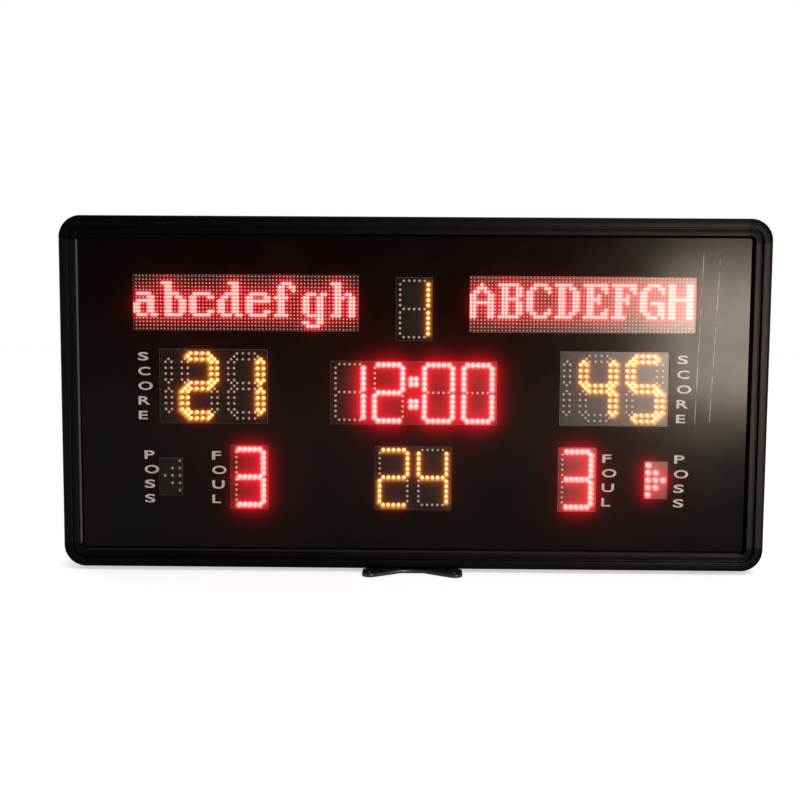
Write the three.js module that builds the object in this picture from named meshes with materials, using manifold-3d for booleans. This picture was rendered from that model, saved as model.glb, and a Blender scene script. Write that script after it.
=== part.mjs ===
// A wall or stand mounted electronic scoreboard for hall sports: an aluminium frame with moulded corners round
// a black front panel, eleven lamp modules behind smoked panes, a vented back with its mains inlet, aerial,
// horn and hangers, and a cross plate with a pole socket under the middle.
// Millimetres. X runs to the right, Y to the back and Z up. The origin is under the middle of the cross plate.
import * as THREE from 'three';
import { mergeVertices } from 'three/addons/utils/BufferGeometryUtils.js';
import Module from 'manifold-3d';

const wasm = await Module();
wasm.setup();

// Overall sizes.
const boardWidth = 1000;
const boardHeight = 500;
const boardDepth = 80;
const seat = 0.3; // gap between pieces that sit on or in each other
const overrun = 2; // how far a cut runs past the face that it opens
const roundSteps = 12; // sides of a small full circle
const poleSteps = 24; // sides of the pole socket
const cornerSteps = 6; // sides of a quarter turn of the frame
const ribSteps = 3; // sides of one crowned rib
const half = 0.5;
const halfTurn = Math.PI;
const quarterTurn = Math.PI / 2;

// The frame's section: u runs in from the outer face, v runs back from the front.
const frame = {
  face: 27.5,
  wall: 2.4,
  rounding: 4.6,
  crown: 0.9,
  outerRib: 4.8,
  veeWidth: 0.8,
  veeDepth: 0.8,
  middleRib: 4.8,
  grooveWidth: 3,
  grooveDepth: 1.8,
  innerRib: 6.5,
  recess: 10, // from the front down to the panel
  slotDepth: 8,
  ledge: 2.5,
  ledgeShort: 1.5, // how far the ledge stays behind the lip
  flangeReach: 14,
  insideRadius: 3.5, // round the corner of the opening
  leg: 2.5, // straight part of a corner piece before the rail starts
  tenon: 24,
};
const panelThickness = 3;
const coverThickness = 1.5;
const outsideRadius = frame.face + frame.insideRadius;
const slotBottom = frame.face - frame.slotDepth;
const lipBack = frame.recess - seat;
const ledgeFront = frame.recess + panelThickness + seat;
const ledgeBack = ledgeFront + frame.ledge;
const flangeBack = boardDepth - coverThickness - seat;
const flangeFront = flangeBack - frame.wall;
const chamber = {
  low: frame.crown + frame.grooveDepth + frame.wall,
  high: ledgeBack - frame.wall,
  outer: frame.rounding,
  inner: slotBottom - frame.wall,
};

// Places along Y, from the middle of the board's depth.
const frontFace = -boardDepth * half;
const panelFront = frontFace + frame.recess;
const panelBack = panelFront + panelThickness;
const coverBack = -frontFace;
const coverFront = coverBack - coverThickness;

// Lamp modules. A module is an open tray behind its window; its lamps end behind the panel's front face.
const module = {
  lap: 6, // how far the tray reaches past its window
  lip: 1, // how far the tray's rim shows inside the window, to carry the pane
  lampTip: 10, // from the panel's front face to the lamps' tips
  lampHeight: 4,
  board: 3,
  plugWidth: 24,
  plugHeight: 9,
  plugDepth: 8,
};
const smallDigit = { width: 40, height: 80, pitch: 7.4, lamp: 5, rows: 1 };
const largeDigit = { width: 50.8, height: 93.2, pitch: 8.47, lamp: 5, rows: 2 };
const lampsPerBar = 5;
const matrix = { width: 320, height: 80, tiles: 2, tileGap: 0.5 };
const arrow = { columns: 3, rows: 5, pitch: 10.7, lamp: 5 };
const clockGap = { pair: 16, middle: 31, colonRise: 16, colon: 12 };
const scoreGap = { half: 14.7, pair: 15.6 };
const margin = {
  period: { x: 6, z: 5 },
  foul: { x: 7.5, z: 6.5 },
  shot: { x: 7, z: 6 },
  clock: { x: 7, z: 5.5 },
  score: { x: 7.1, z: 6.7 },
  possession: { x: 6.3, z: 5.9 },
};

// The room that the windows leave free is shared out as gaps: down from the frame, and out from the middle window.
const rowGapShares = { top: 0.3265, upper: 0.1542, lower: 0.1838 };
const columnGapShares = { matrix: 0.4111, score: 0.4449, foul: 0.4621, possession: 0.2061 };
const drop = { period: 7.5, clock: 7.7 }; // from the middle of a row's outer windows to its middle window

// Fasteners.
const coverScrewShare = 0.3;
const coverScrew = { head: 3.8, headHeight: 2.2, shank: 1.9, reach: 2.5 };
const coverScrewSpread = boardWidth * coverScrewShare; // from the middle to the outer screws of the long sides
const standBolt = { head: 5, headHeight: 2.6, shank: 2.5, spread: 33 };

// Cross plate and pole socket.
const plate = { hole: 60, lobe: 11, waist: 44, flat: 16, thickness: 5, holeRadius: 3.6, sink: 5.5 };
const socket = { bore: 17.8, wall: 2.2, cap: 3, headroom: 11.8, flangeWidth: 86, flangeDepth: 46, flange: 4 };
const clamp = { shaft: 4, boss: 9, knob: 19, knobLength: 15, lobes: 6, scallop: 1.8, hub: 9, hubLength: 5 };
const clampRiseShare = 0.7; // of the socket's depth
const boardBottom = plate.thickness + seat;
const boardMiddle = boardBottom + boardHeight * half;

// Back fittings. Their places are shares of the board's width and height, from its middle.
const ventShares = { x: 0.19, z: 0.336 };
const inletShares = { x: -0.35, z: -0.356 };
const dataPortShares = { x: -0.262, z: -0.356 };
const aerialShares = { x: 0.33, z: -0.12 };
const controlShares = { x: 0.15, z: 0.06 };
const supplyShares = { x: -0.245, z: -0.04 };
const hornShares = { x: 0.04, z: 0.3 };
const hangerShare = 0.3;
const onBoard = (shares) => ({ x: shares.x * boardWidth, z: shares.z * boardHeight });
const vent = { ...onBoard(ventShares), length: 34, width: 4, pitch: 9, count: 11 };
const inlet = {
  ...onBoard(inletShares), width: 50, height: 52, corner: 2.6, plate: 2.6, bodyWidth: 28, bodyHeight: 47, body: 24,
  mouthWidth: 24.4, mouthHeight: 16.8, mouthDepth: 17, mouthDrop: 13, mouthCorner: 4.5,
  pinWidth: 2, pinHeight: 4, pinLength: 10.5, pinSpread: 7, earthRise: 2.2, pinDrop: 2, ear: 20, earHole: 1.7,
};
const fuse = { width: 22, height: 6, depth: 18, rise: 1.9, front: 1 };
const rocker = { width: 12.6, height: 18.6, depth: 7, rise: 15.2, tilt: 8, pin: 1.25, pinReach: 1.3, well: 9.5 };
const dataPort = {
  ...onBoard(dataPortShares), flange: 26, flangeDepth: 2, barrel: 8.5, proud: 7, shell: 7.4, bore: 6.2,
  depth: 12, body: 16, pin: 0.7, pinLength: 5.5, pinRing: 3.2, pins: 4,
};
const aerial = {
  ...onBoard(aerialShares), barrel: 3.1, nut: 6, nutHeight: 3, sleeve: 5.4, sleeveLength: 12, earWidth: 2, gap: 5.2,
  ear: 4.8, pin: 1.3, tongue: 4.4, neck: 2.1, base: 4.6, tip: 3.2, length: 112, foot: 9, pivot: 7,
};
const aerialPlug = 8.2; // length of the socket's thread inside the sleeve
const nutSides = 6;
const receiver = { width: 64, height: 44, board: 1.6, gap: 15, post: 3, chip: 14, chipHeight: 3 };
const control = { ...onBoard(controlShares), width: 170, height: 110, board: 1.6, gap: 12, post: 3.2 };
const supply = { ...onBoard(supplyShares), width: 200, height: 98, depth: 30, terminal: 18, terminalDepth: 14 };
const horn = {
  ...onBoard(hornShares), mouth: 36, throat: 15, wall: 2, depth: 34, flange: 42, flangeDepth: 2.5, driver: 20,
};
const grille = { width: 4, pitch: 9, count: 7 };
const hanger = {
  x: boardWidth * hangerShare, topDrop: 45, width: 64, thickness: 2.5, foot: 13, rise: 9, top: 34,
  eye: 7, slot: 3.2, slotLength: 10,
};
const lead = { radius: 3, sides: 8, steps: 16, stub: 12, drop: 30, sway: 7, climb: 60 };

// Finishes.
function finish(colour, roughness, metalness) {
  return new THREE.MeshStandardMaterial({ color: colour, roughness, metalness });
}
const anodised = () => finish(0x1b1a1b, 0.42, 0.85);
const cornerPlastic = () => finish(0x0d0c0c, 0.38, 0);
const panelSheet = () => finish(0x100907, 0.3, 0);
const smokedPane = () => finish(0x2a2220, 0.15, 0);
const modulePlastic = () => finish(0x1c1817, 0.6, 0);
const powderCoat = () => finish(0x17171a, 0.6, 0.3);
const zincSteel = () => finish(0xb9bcc0, 0.35, 1);
const blackSteel = () => finish(0x121213, 0.5, 0.6);
const blackNylon = () => finish(0x141414, 0.55, 0);
const brassPlate = () => finish(0xc39a4b, 0.3, 1);
const circuitBoard = () => finish(0x12502f, 0.5, 0);
const leadSleeve = () => finish(0x0c0c0d, 0.6, 0);

// Solid helpers.
function toSolid(geometry) {
  const bare = geometry.clone();
  bare.deleteAttribute('normal');
  bare.deleteAttribute('uv');
  const welded = mergeVertices(bare);
  const corners = welded.index.array;
  const kept = [];
  for (let i = 0; i < corners.length; i += 3) {
    const [a, b, c] = [corners[i], corners[i + 1], corners[i + 2]];
    if (a !== b && b !== c && c !== a) kept.push(a, b, c);
  }
  const vertProperties = new Float32Array(welded.attributes.position.array);
  return new wasm.Manifold(new wasm.Mesh({ numProp: 3, vertProperties, triVerts: new Uint32Array(kept) }));
}

function toGeometry(solid) {
  const mesh = solid.getMesh();
  const geometry = new THREE.BufferGeometry();
  geometry.setAttribute('position', new THREE.BufferAttribute(new Float32Array(mesh.vertProperties), 3));
  geometry.setIndex(new THREE.BufferAttribute(new Uint32Array(mesh.triVerts), 1));
  geometry.computeVertexNormals();
  return geometry;
}

function join(first, ...others) {
  return others.reduce((whole, other) => whole.add(other), first);
}

function cut(first, ...tools) {
  return tools.reduce((whole, tool) => whole.subtract(tool), first);
}

function blockBetween(low, high) {
  const size = high.map((value, i) => value - low[i]);
  const middle = high.map((value, i) => (value + low[i]) * half);
  const geometry = new THREE.BoxGeometry(...size);
  geometry.translate(...middle);
  return toSolid(geometry);
}

// A rod or cone along Y from one depth to another.
function rod(x, z, from, to, radiusFrom, radiusTo = radiusFrom, sides = roundSteps) {
  const geometry = new THREE.CylinderGeometry(radiusTo, radiusFrom, to - from, sides);
  geometry.translate(x, (from + to) * half, z);
  return toSolid(geometry);
}

// A rod or cone along Z.
function post(x, y, from, to, radiusFrom, radiusTo = radiusFrom, sides = roundSteps) {
  const geometry = new THREE.CylinderGeometry(radiusTo, radiusFrom, to - from, sides);
  geometry.rotateX(quarterTurn);
  geometry.translate(x, y, (from + to) * half);
  return toSolid(geometry);
}

// A rod along X.
function crossRod(y, z, from, to, radius, sides = roundSteps) {
  const geometry = new THREE.CylinderGeometry(radius, radius, to - from, sides);
  geometry.rotateZ(quarterTurn);
  geometry.translate((from + to) * half, y, z);
  return toSolid(geometry);
}

// The radius of a faceted hole whose flats clear a round piece.
function holeFor(radius, sides = roundSteps) {
  return (radius + seat) / Math.cos(halfTurn / sides);
}

function rectangle(width, height, x = 0, z = 0) {
  const shape = new THREE.Shape();
  shape.moveTo(x - width * half, z - height * half);
  shape.lineTo(x + width * half, z - height * half);
  shape.lineTo(x + width * half, z + height * half);
  shape.lineTo(x - width * half, z + height * half);
  shape.closePath();
  return shape;
}

function roundedRectangle(width, height, radius) {
  const right = width * half - radius;
  const top = height * half - radius;
  const shape = new THREE.Shape();
  shape.absarc(right, top, radius, 0, quarterTurn);
  shape.absarc(-right, top, radius, quarterTurn, halfTurn);
  shape.absarc(-right, -top, radius, halfTurn, halfTurn + quarterTurn);
  shape.absarc(right, -top, radius, -quarterTurn, 0);
  shape.closePath();
  return shape;
}

// A shape drawn in X and Z, given thickness from its front to its back along Y.
function standing(shape, front, back) {
  const depth = back - front;
  const geometry = new THREE.ExtrudeGeometry(shape, { depth, bevelEnabled: false, curveSegments: cornerSteps });
  geometry.rotateX(quarterTurn);
  geometry.translate(0, back, 0);
  return geometry;
}

// A shape drawn in X and Y, given height along Z.
function lying(shape, bottom, top) {
  const depth = top - bottom;
  const geometry = new THREE.ExtrudeGeometry(shape, { depth, bevelEnabled: false, curveSegments: roundSteps });
  geometry.translate(0, 0, bottom);
  return geometry;
}

function place(name, geometry, material, x = 0, y = 0, z = 0) {
  const mesh = new THREE.Mesh(geometry, material);
  mesh.name = name;
  mesh.position.set(x, y, z);
  return mesh;
}

// Frame: four rails and four corner pieces of one section.
function sectionPoints() {
  const points = [[0, boardDepth]];
  for (let i = 0; i <= ribSteps; i += 1) {
    const turn = (quarterTurn * i) / ribSteps;
    const v = frame.crown + (frame.rounding - frame.crown) * (1 - Math.sin(turn));
    points.push([frame.rounding * (1 - Math.cos(turn)), v]);
  }
  let u = frame.rounding;
  const rib = (width) => {
    for (let i = 1; i <= ribSteps; i += 1) {
      const across = (2 * i) / ribSteps - 1;
      points.push([u + (width * i) / ribSteps, frame.crown * across * across]);
    }
    u += width;
  };
  rib(frame.outerRib);
  points.push([u + frame.veeWidth * half, frame.crown + frame.veeDepth]);
  u += frame.veeWidth;
  points.push([u, frame.crown]);
  rib(frame.middleRib);
  points.push([u, frame.crown + frame.grooveDepth]);
  u += frame.grooveWidth;
  points.push([u, frame.crown + frame.grooveDepth]);
  points.push([u, frame.crown]);
  rib(frame.innerRib);
  points.push([frame.face, lipBack]);
  points.push([slotBottom, lipBack]);
  points.push([slotBottom, ledgeFront]);
  points.push([frame.face - frame.ledgeShort, ledgeFront]);
  points.push([frame.face - frame.ledgeShort, ledgeBack]);
  points.push([frame.wall, ledgeBack]);
  points.push([frame.wall, flangeFront]);
  points.push([frame.flangeReach, flangeFront]);
  points.push([frame.flangeReach, flangeBack]);
  points.push([frame.wall, flangeBack]);
  points.push([frame.wall, boardDepth]);
  return points;
}

function sectionShape(hollow) {
  const shape = new THREE.Shape(sectionPoints().map(([u, v]) => new THREE.Vector2(u, v)));
  if (hollow) {
    const hole = new THREE.Path();
    hole.moveTo(chamber.outer, chamber.low);
    hole.lineTo(chamber.outer, chamber.high);
    hole.lineTo(chamber.inner, chamber.high);
    hole.lineTo(chamber.inner, chamber.low);
    hole.closePath();
    shape.holes.push(hole);
  }
  return shape;
}

function railGeometry(length, hollow) {
  return new THREE.ExtrudeGeometry(sectionShape(hollow), { depth: length, bevelEnabled: false });
}

const flangeMiddle = (frame.wall + frame.flangeReach) * half;

// A rail lies along Z with its outer face on X = 0. Screw holes for the cover pass through its back flange.
function coverHoles(places) {
  return places.map((z) => rod(flangeMiddle, z, flangeFront - overrun, boardDepth, holeFor(coverScrew.shank)));
}

function makeRail(length, screwPlaces, extraCuts = []) {
  const rail = cut(toSolid(railGeometry(length, true)), ...coverHoles(screwPlaces), ...extraCuts);
  return toGeometry(rail);
}

const longRail = boardWidth - 2 * (outsideRadius + frame.leg + seat);
const shortRail = boardHeight - 2 * (outsideRadius + frame.leg + seat);
const depthMiddle = boardDepth * half;

function standCuts(length) {
  const middle = length * half;
  const hole = (offset, radius, sides) => {
    return crossRod(depthMiddle, middle + offset, -overrun, frame.wall + overrun, holeFor(radius, sides), sides);
  };
  return [
    hole(0, socket.bore + socket.wall, poleSteps),
    hole(standBolt.spread, standBolt.shank, roundSteps),
    hole(-standBolt.spread, standBolt.shank, roundSteps),
  ];
}

function frameRails() {
  const longPlaces = [-coverScrewSpread, 0, coverScrewSpread].map((x) => longRail * half + x);
  const longOffset = longRail * half;
  const shortOffset = shortRail * half;
  const top = place('frame_rail_top', makeRail(longRail, longPlaces), anodised());
  top.rotation.y = quarterTurn;
  top.position.set(-longOffset, frontFace, boardHeight * half);
  const bottomGeometry = makeRail(longRail, longPlaces, standCuts(longRail));
  const bottom = place('frame_rail_bottom', bottomGeometry, anodised());
  bottom.rotation.y = -quarterTurn;
  bottom.position.set(longOffset, frontFace, -boardHeight * half);
  const left = place('frame_rail_left', makeRail(shortRail, [shortOffset]), anodised());
  left.position.set(-boardWidth * half, frontFace, -shortOffset);
  const right = place('frame_rail_right', makeRail(shortRail, [shortOffset]), anodised());
  right.rotation.y = halfTurn;
  right.position.set(boardWidth * half, frontFace, shortOffset);
  return [top, bottom, left, right];
}

// One corner: a quarter turn of the section with a short straight leg and a tenon into each rail. A straight
// length of the section is bent round: its first and last steps are the legs.
function bentSection() {
  const steps = cornerSteps + 2;
  const geometry = new THREE.ExtrudeGeometry(sectionShape(false), { depth: steps, steps, bevelEnabled: false });
  const places = geometry.attributes.position;
  for (let i = 0; i < places.count; i += 1) {
    const radius = outsideRadius - places.getX(i);
    const v = places.getY(i);
    const step = Math.round(places.getZ(i));
    const turn = (quarterTurn * (steps - 1 - step)) / cornerSteps;
    if (step === 0) places.setXYZ(i, -radius, v, -frame.leg);
    else if (step === steps) places.setXYZ(i, frame.leg, v, radius);
    else places.setXYZ(i, -radius * Math.sin(turn), v, radius * Math.cos(turn));
  }
  return geometry;
}

function cornerGeometry() {
  const outer = outsideRadius - chamber.outer - seat;
  const inner = outsideRadius - chamber.inner + seat;
  const low = chamber.low + seat;
  const high = chamber.high - seat;
  const end = frame.leg + frame.tenon;
  const tenonAlong = blockBetween([0, low, inner], [end, high, outer]);
  const tenonDown = blockBetween([-outer, low, -end], [-inner, high, 0]);
  return toGeometry(join(toSolid(bentSection()), tenonAlong, tenonDown));
}

function frameCorners() {
  const x = boardWidth * half - outsideRadius;
  const z = boardHeight * half - outsideRadius;
  const corners = [
    ['corner_top_left', -x, z, 0],
    ['corner_top_right', x, z, quarterTurn],
    ['corner_bottom_right', x, -z, halfTurn],
    ['corner_bottom_left', -x, -z, -quarterTurn],
  ];
  return corners.map(([name, cornerX, cornerZ, turn]) => {
    const mesh = place(name, cornerGeometry(), cornerPlastic(), cornerX, frontFace, cornerZ);
    mesh.rotation.y = turn;
    return mesh;
  });
}

// Displays: each has a window in the panel, a pane in the window and a tray of lamps behind it.
const barLength = (digit) => (lampsPerBar - 1) * digit.pitch + digit.lamp;
const barWidth = (digit) => (digit.rows - 1) * digit.pitch + digit.lamp;

// A lamp bar, drawn in X and Z. A bar of two rows has pointed ends.
function barShape(digit, x, z, upright) {
  const long = barLength(digit) * half;
  const wide = barWidth(digit) * half;
  if (digit.rows === 1) return rectangle(...(upright ? [2 * wide, 2 * long] : [2 * long, 2 * wide]), x, z);
  const blunt = digit.lamp * half * half;
  const shoulder = long - (wide - blunt);
  const outline = [
    [-shoulder, -wide], [shoulder, -wide], [long, -blunt], [long, blunt],
    [shoulder, wide], [-shoulder, wide], [-long, blunt], [-long, -blunt],
  ];
  return new THREE.Shape(outline.map(([a, b]) => new THREE.Vector2(x + (upright ? b : a), z + (upright ? a : b))));
}

function digitBars(digit, x, z = 0) {
  const inset = ((digit.rows - 1) * digit.pitch) / 2;
  const side = digit.width * half - inset;
  const rise = digit.height * half - inset;
  const quarterRise = digit.height * half * half;
  return [
    barShape(digit, x, z + rise, false),
    barShape(digit, x, z, false),
    barShape(digit, x, z - rise, false),
    barShape(digit, x - side, z + quarterRise, true),
    barShape(digit, x - side, z - quarterRise, true),
    barShape(digit, x + side, z + quarterRise, true),
    barShape(digit, x + side, z - quarterRise, true),
  ];
}

// A score window holds two digits after a half digit: one double row of lamps.
const scoreHalfDigit = (largeDigit.rows - 1) * largeDigit.pitch;
const scoreWidth = scoreHalfDigit + scoreGap.half + 2 * largeDigit.width + scoreGap.pair;

function scoreBars() {
  const left = -scoreWidth * half;
  const quarterRise = largeDigit.height * half * half;
  const first = left + scoreHalfDigit * half;
  const second = left + scoreHalfDigit + scoreGap.half + largeDigit.width * half;
  const third = -left - largeDigit.width * half;
  return [
    barShape(largeDigit, first, quarterRise, true),
    barShape(largeDigit, first, -quarterRise, true),
    ...digitBars(largeDigit, second),
    ...digitBars(largeDigit, third),
  ];
}

function clockBars() {
  const inner = (clockGap.middle + smallDigit.width) * half;
  const outer = inner + smallDigit.width + clockGap.pair;
  return [
    ...[-outer, -inner, inner, outer].flatMap((x) => digitBars(smallDigit, x)),
    rectangle(clockGap.colon, clockGap.colon, 0, clockGap.colonRise),
    rectangle(clockGap.colon, clockGap.colon, 0, -clockGap.colonRise),
  ];
}

function shotBars() {
  const offset = (smallDigit.width + clockGap.pair) * half;
  return [...digitBars(smallDigit, -offset), ...digitBars(smallDigit, offset)];
}

// The arrow's lamps form a triangle whose tip points away from the middle of the board.
function arrowBars(side) {
  const across = ((arrow.columns - 1) * arrow.pitch) / 2;
  const rise = ((arrow.rows - 1) * arrow.pitch) / 2;
  const edge = arrow.lamp * half;
  const outline = [
    [-across - edge, -rise - edge], [-across + edge, -rise - edge], [across + edge, -edge],
    [across + edge, edge], [-across + edge, rise + edge], [-across - edge, rise + edge],
  ];
  return [new THREE.Shape(outline.map(([a, b]) => new THREE.Vector2(side * a, b)))];
}

function matrixTiles() {
  const clear = matrix.width - 2 * module.lip - (matrix.tiles + 1) * matrix.tileGap;
  const tile = clear / matrix.tiles;
  const height = matrix.height - 2 * (module.lip + matrix.tileGap);
  const shapes = [];
  for (let i = 0; i < matrix.tiles; i += 1) {
    const x = (i - (matrix.tiles - 1) * half) * (tile + matrix.tileGap);
    shapes.push(rectangle(tile, height, x, 0));
  }
  return shapes;
}

function display(name, x, z, bars, width, height, edge = { x: 0, z: 0 }) {
  return { name, x, z, bars, width: width + 2 * edge.x, height: height + 2 * edge.z };
}

function pairOfDisplays(name, x, z, bars, width, height, edge) {
  return [
    display(`${name}_left`, -x, z, bars(-1), width, height, edge),
    display(`${name}_right`, x, z, bars(1), width, height, edge),
  ];
}

const digitWidth = smallDigit.width;
const digitHeight = smallDigit.height;
const arrowWidth = (arrow.columns - 1) * arrow.pitch;
const arrowHeight = (arrow.rows - 1) * arrow.pitch;
const shotWidth = 2 * digitWidth + clockGap.pair;
const clockWidth = 2 * shotWidth + clockGap.middle;
const oneDigit = () => digitBars(smallDigit, 0);

// Rows, from the top of the opening in the frame down.
const clearHeight = boardHeight - 2 * frame.face;
const scoreWindow = { width: scoreWidth + 2 * margin.score.x, height: largeDigit.height + 2 * margin.score.z };
const foulWindow = { width: digitWidth + 2 * margin.foul.x, height: digitHeight + 2 * margin.foul.z };
const freeHeight = clearHeight - matrix.height - scoreWindow.height - foulWindow.height;
const matrixRow = clearHeight * half - rowGapShares.top * freeHeight - matrix.height * half;
const scoreRow = matrixRow - (matrix.height + scoreWindow.height) * half - rowGapShares.upper * freeHeight;
const lowerRow = scoreRow - (scoreWindow.height + foulWindow.height) * half - rowGapShares.lower * freeHeight;
const periodRow = matrixRow - drop.period;
const clockRow = scoreRow - drop.clock;

// Columns, from the edge of a row's middle window out.
const clearHalf = boardWidth * half - frame.face;
function columnAfter(edge, width, share, room) {
  return edge + share * room + width * half;
}
const periodEdge = digitWidth * half + margin.period.x;
const clockEdge = clockWidth * half + margin.clock.x;
const shotEdge = shotWidth * half + margin.shot.x;
const arrowWindowWidth = arrowWidth + 2 * margin.possession.x;
const lowerRoom = clearHalf - shotEdge - foulWindow.width - arrowWindowWidth;
const matrixRoom = clearHalf - periodEdge - matrix.width;
const scoreRoom = clearHalf - clockEdge - scoreWindow.width;
const matrixColumn = columnAfter(periodEdge, matrix.width, columnGapShares.matrix, matrixRoom);
const scoreColumn = columnAfter(clockEdge, scoreWindow.width, columnGapShares.score, scoreRoom);
const foulColumn = columnAfter(shotEdge, foulWindow.width, columnGapShares.foul, lowerRoom);
const foulEdge = foulColumn + foulWindow.width * half;
const arrowColumn = columnAfter(foulEdge, arrowWindowWidth, columnGapShares.possession, lowerRoom);

const displays = [
  ...pairOfDisplays('team_matrix', matrixColumn, matrixRow, matrixTiles, matrix.width, matrix.height),
  ...pairOfDisplays('score_display', scoreColumn, scoreRow, scoreBars, scoreWidth, largeDigit.height, margin.score),
  ...pairOfDisplays('foul_display', foulColumn, lowerRow, oneDigit, digitWidth, digitHeight, margin.foul),
  ...pairOfDisplays(
    'possession_display', arrowColumn, lowerRow, arrowBars, arrowWidth, arrowHeight, margin.possession,
  ),
  display('period_display', 0, periodRow, oneDigit(), digitWidth, digitHeight, margin.period),
  display('clock_display', 0, clockRow, clockBars(), clockWidth, digitHeight, margin.clock),
  display('shot_clock_display', 0, lowerRow, shotBars(), shotWidth, digitHeight, margin.shot),
];

// The pole socket ends a named headroom below the shot clock's module.
const shotModuleBottom = lowerRow - digitHeight * half - margin.shot.z - module.lap;
const socketTop = boardMiddle + shotModuleBottom - socket.headroom;
const socketDepth = socketTop - socket.cap;
const clampZ = socketDepth * clampRiseShare;

function frontPanel() {
  const edge = slotBottom + seat;
  const shape = roundedRectangle(boardWidth - 2 * edge, boardHeight - 2 * edge, outsideRadius - edge);
  const windows = displays.map(({ x, z, width, height }) => rectangle(width, height, x, z));
  const openings = windows.map((item) => toSolid(standing(item, panelFront - overrun, panelBack + overrun)));
  const sheet = cut(toSolid(standing(shape, panelFront, panelBack)), ...openings);
  return place('front_panel', toGeometry(sheet), panelSheet());
}

function windowPane({ name, x, z, width, height }) {
  const shape = rectangle(width - 2 * seat, height - 2 * seat);
  return place(`${name}_pane`, standing(shape, panelFront, panelBack), smokedPane(), x, 0, z);
}

function lampModule({ name, x, z, bars, width, height }) {
  const front = panelBack + seat;
  const lampFront = panelFront + module.lampTip;
  const floor = lampFront + module.lampHeight;
  const back = floor + module.board;
  const outer = rectangle(width + 2 * module.lap, height + 2 * module.lap);
  const opening = rectangle(width - 2 * module.lip, height - 2 * module.lip);
  const tray = cut(toSolid(standing(outer, front, back)), toSolid(standing(opening, front - overrun, floor)));
  const lamps = bars.map((shape) => toSolid(standing(shape, lampFront, floor + module.board * half)));
  const plug = blockBetween(
    [-module.plugWidth * half, back - module.board * half, -module.plugHeight * half],
    [module.plugWidth * half, back + module.plugDepth, module.plugHeight * half],
  );
  return place(name, toGeometry(join(tray, ...lamps, plug)), modulePlastic(), x, 0, z);
}

// Back cover with its holes and slots.
function ventShapes(side, rise) {
  const shapes = [];
  for (let i = 0; i < vent.count; i += 1) {
    const x = side * vent.x + (i - (vent.count - 1) * half) * vent.pitch;
    shapes.push(rectangle(vent.width, vent.length, x, rise));
  }
  return shapes;
}

function grilleShapes() {
  const shapes = [];
  for (let i = 0; i < grille.count; i += 1) {
    const drop = (i - (grille.count - 1) * half) * grille.pitch;
    const reach = Math.sqrt((horn.mouth - grille.width) ** 2 - drop ** 2);
    shapes.push(rectangle(2 * reach, grille.width, horn.x, horn.z + drop));
  }
  return shapes;
}

const coverEdge = frame.wall + seat;
const longScrewRise = boardHeight * half - flangeMiddle;
const shortScrewSide = boardWidth * half - flangeMiddle;
const coverScrewPlaces = [
  ...[-coverScrewSpread, 0, coverScrewSpread].flatMap((x) => [[x, longScrewRise], [x, -longScrewRise]]),
  [-shortScrewSide, 0],
  [shortScrewSide, 0],
];

function roundHole(x, z, radius) {
  return rod(x, z, coverFront - overrun, coverBack + overrun, holeFor(radius));
}

function rearCover() {
  const radius = outsideRadius - coverEdge;
  const shape = roundedRectangle(boardWidth - 2 * coverEdge, boardHeight - 2 * coverEdge, radius);
  const openings = [
    ...ventShapes(-1, vent.z), ...ventShapes(1, vent.z), ...ventShapes(1, -vent.z),
    ...grilleShapes(),
    rectangle(inlet.bodyWidth + 2 * seat, inlet.bodyHeight + 2 * seat, inlet.x, inlet.z),
  ];
  const sheet = cut(
    toSolid(standing(shape, coverFront, coverBack)),
    ...openings.map((item) => toSolid(standing(item, coverFront - overrun, coverBack + overrun))),
    ...coverScrewPlaces.map(([x, z]) => roundHole(x, z, coverScrew.shank)),
    roundHole(dataPort.x, dataPort.z, dataPort.shell),
    roundHole(aerial.x, aerial.z, aerial.barrel),
    roundHole(0, clampZ - boardMiddle, clamp.shaft),
  );
  return place('rear_cover', toGeometry(sheet), powderCoat());
}

function coverScrews() {
  return coverScrewPlaces.map(([x, z], i) => {
    const headFront = coverBack + seat;
    const headBack = headFront + coverScrew.headHeight;
    const tip = frontFace + flangeFront - coverScrew.reach;
    const head = rod(0, 0, headFront, headBack, coverScrew.head, coverScrew.head - seat);
    const shank = rod(0, 0, tip, headFront + coverScrew.headHeight * half, coverScrew.shank);
    return place(`cover_screw_${i + 1}`, toGeometry(join(head, shank)), zincSteel(), x, 0, z);
  });
}

// Mains inlet with its fuse drawer and rocker switch.
const socketMiddle = -inlet.mouthDrop;
const plateFront = coverBack + seat;
const plateBack = plateFront + inlet.plate;
const wellBottom = plateBack - rocker.well;

function mouthShape() {
  const right = inlet.mouthWidth * half;
  const top = inlet.mouthHeight * half;
  const outline = [
    [-right, -top], [right, -top], [right, top - inlet.mouthCorner], [right - inlet.mouthCorner, top],
    [-right + inlet.mouthCorner, top], [-right, top - inlet.mouthCorner],
  ];
  return new THREE.Shape(outline.map(([x, z]) => new THREE.Vector2(x, z + socketMiddle)));
}

function contactPin(x, z) {
  const floor = plateBack - inlet.mouthDepth;
  return blockBetween(
    [x - inlet.pinWidth * half, floor - overrun, z - inlet.pinHeight * half],
    [x + inlet.pinWidth * half, floor + inlet.pinLength, z + inlet.pinHeight * half],
  );
}

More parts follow.
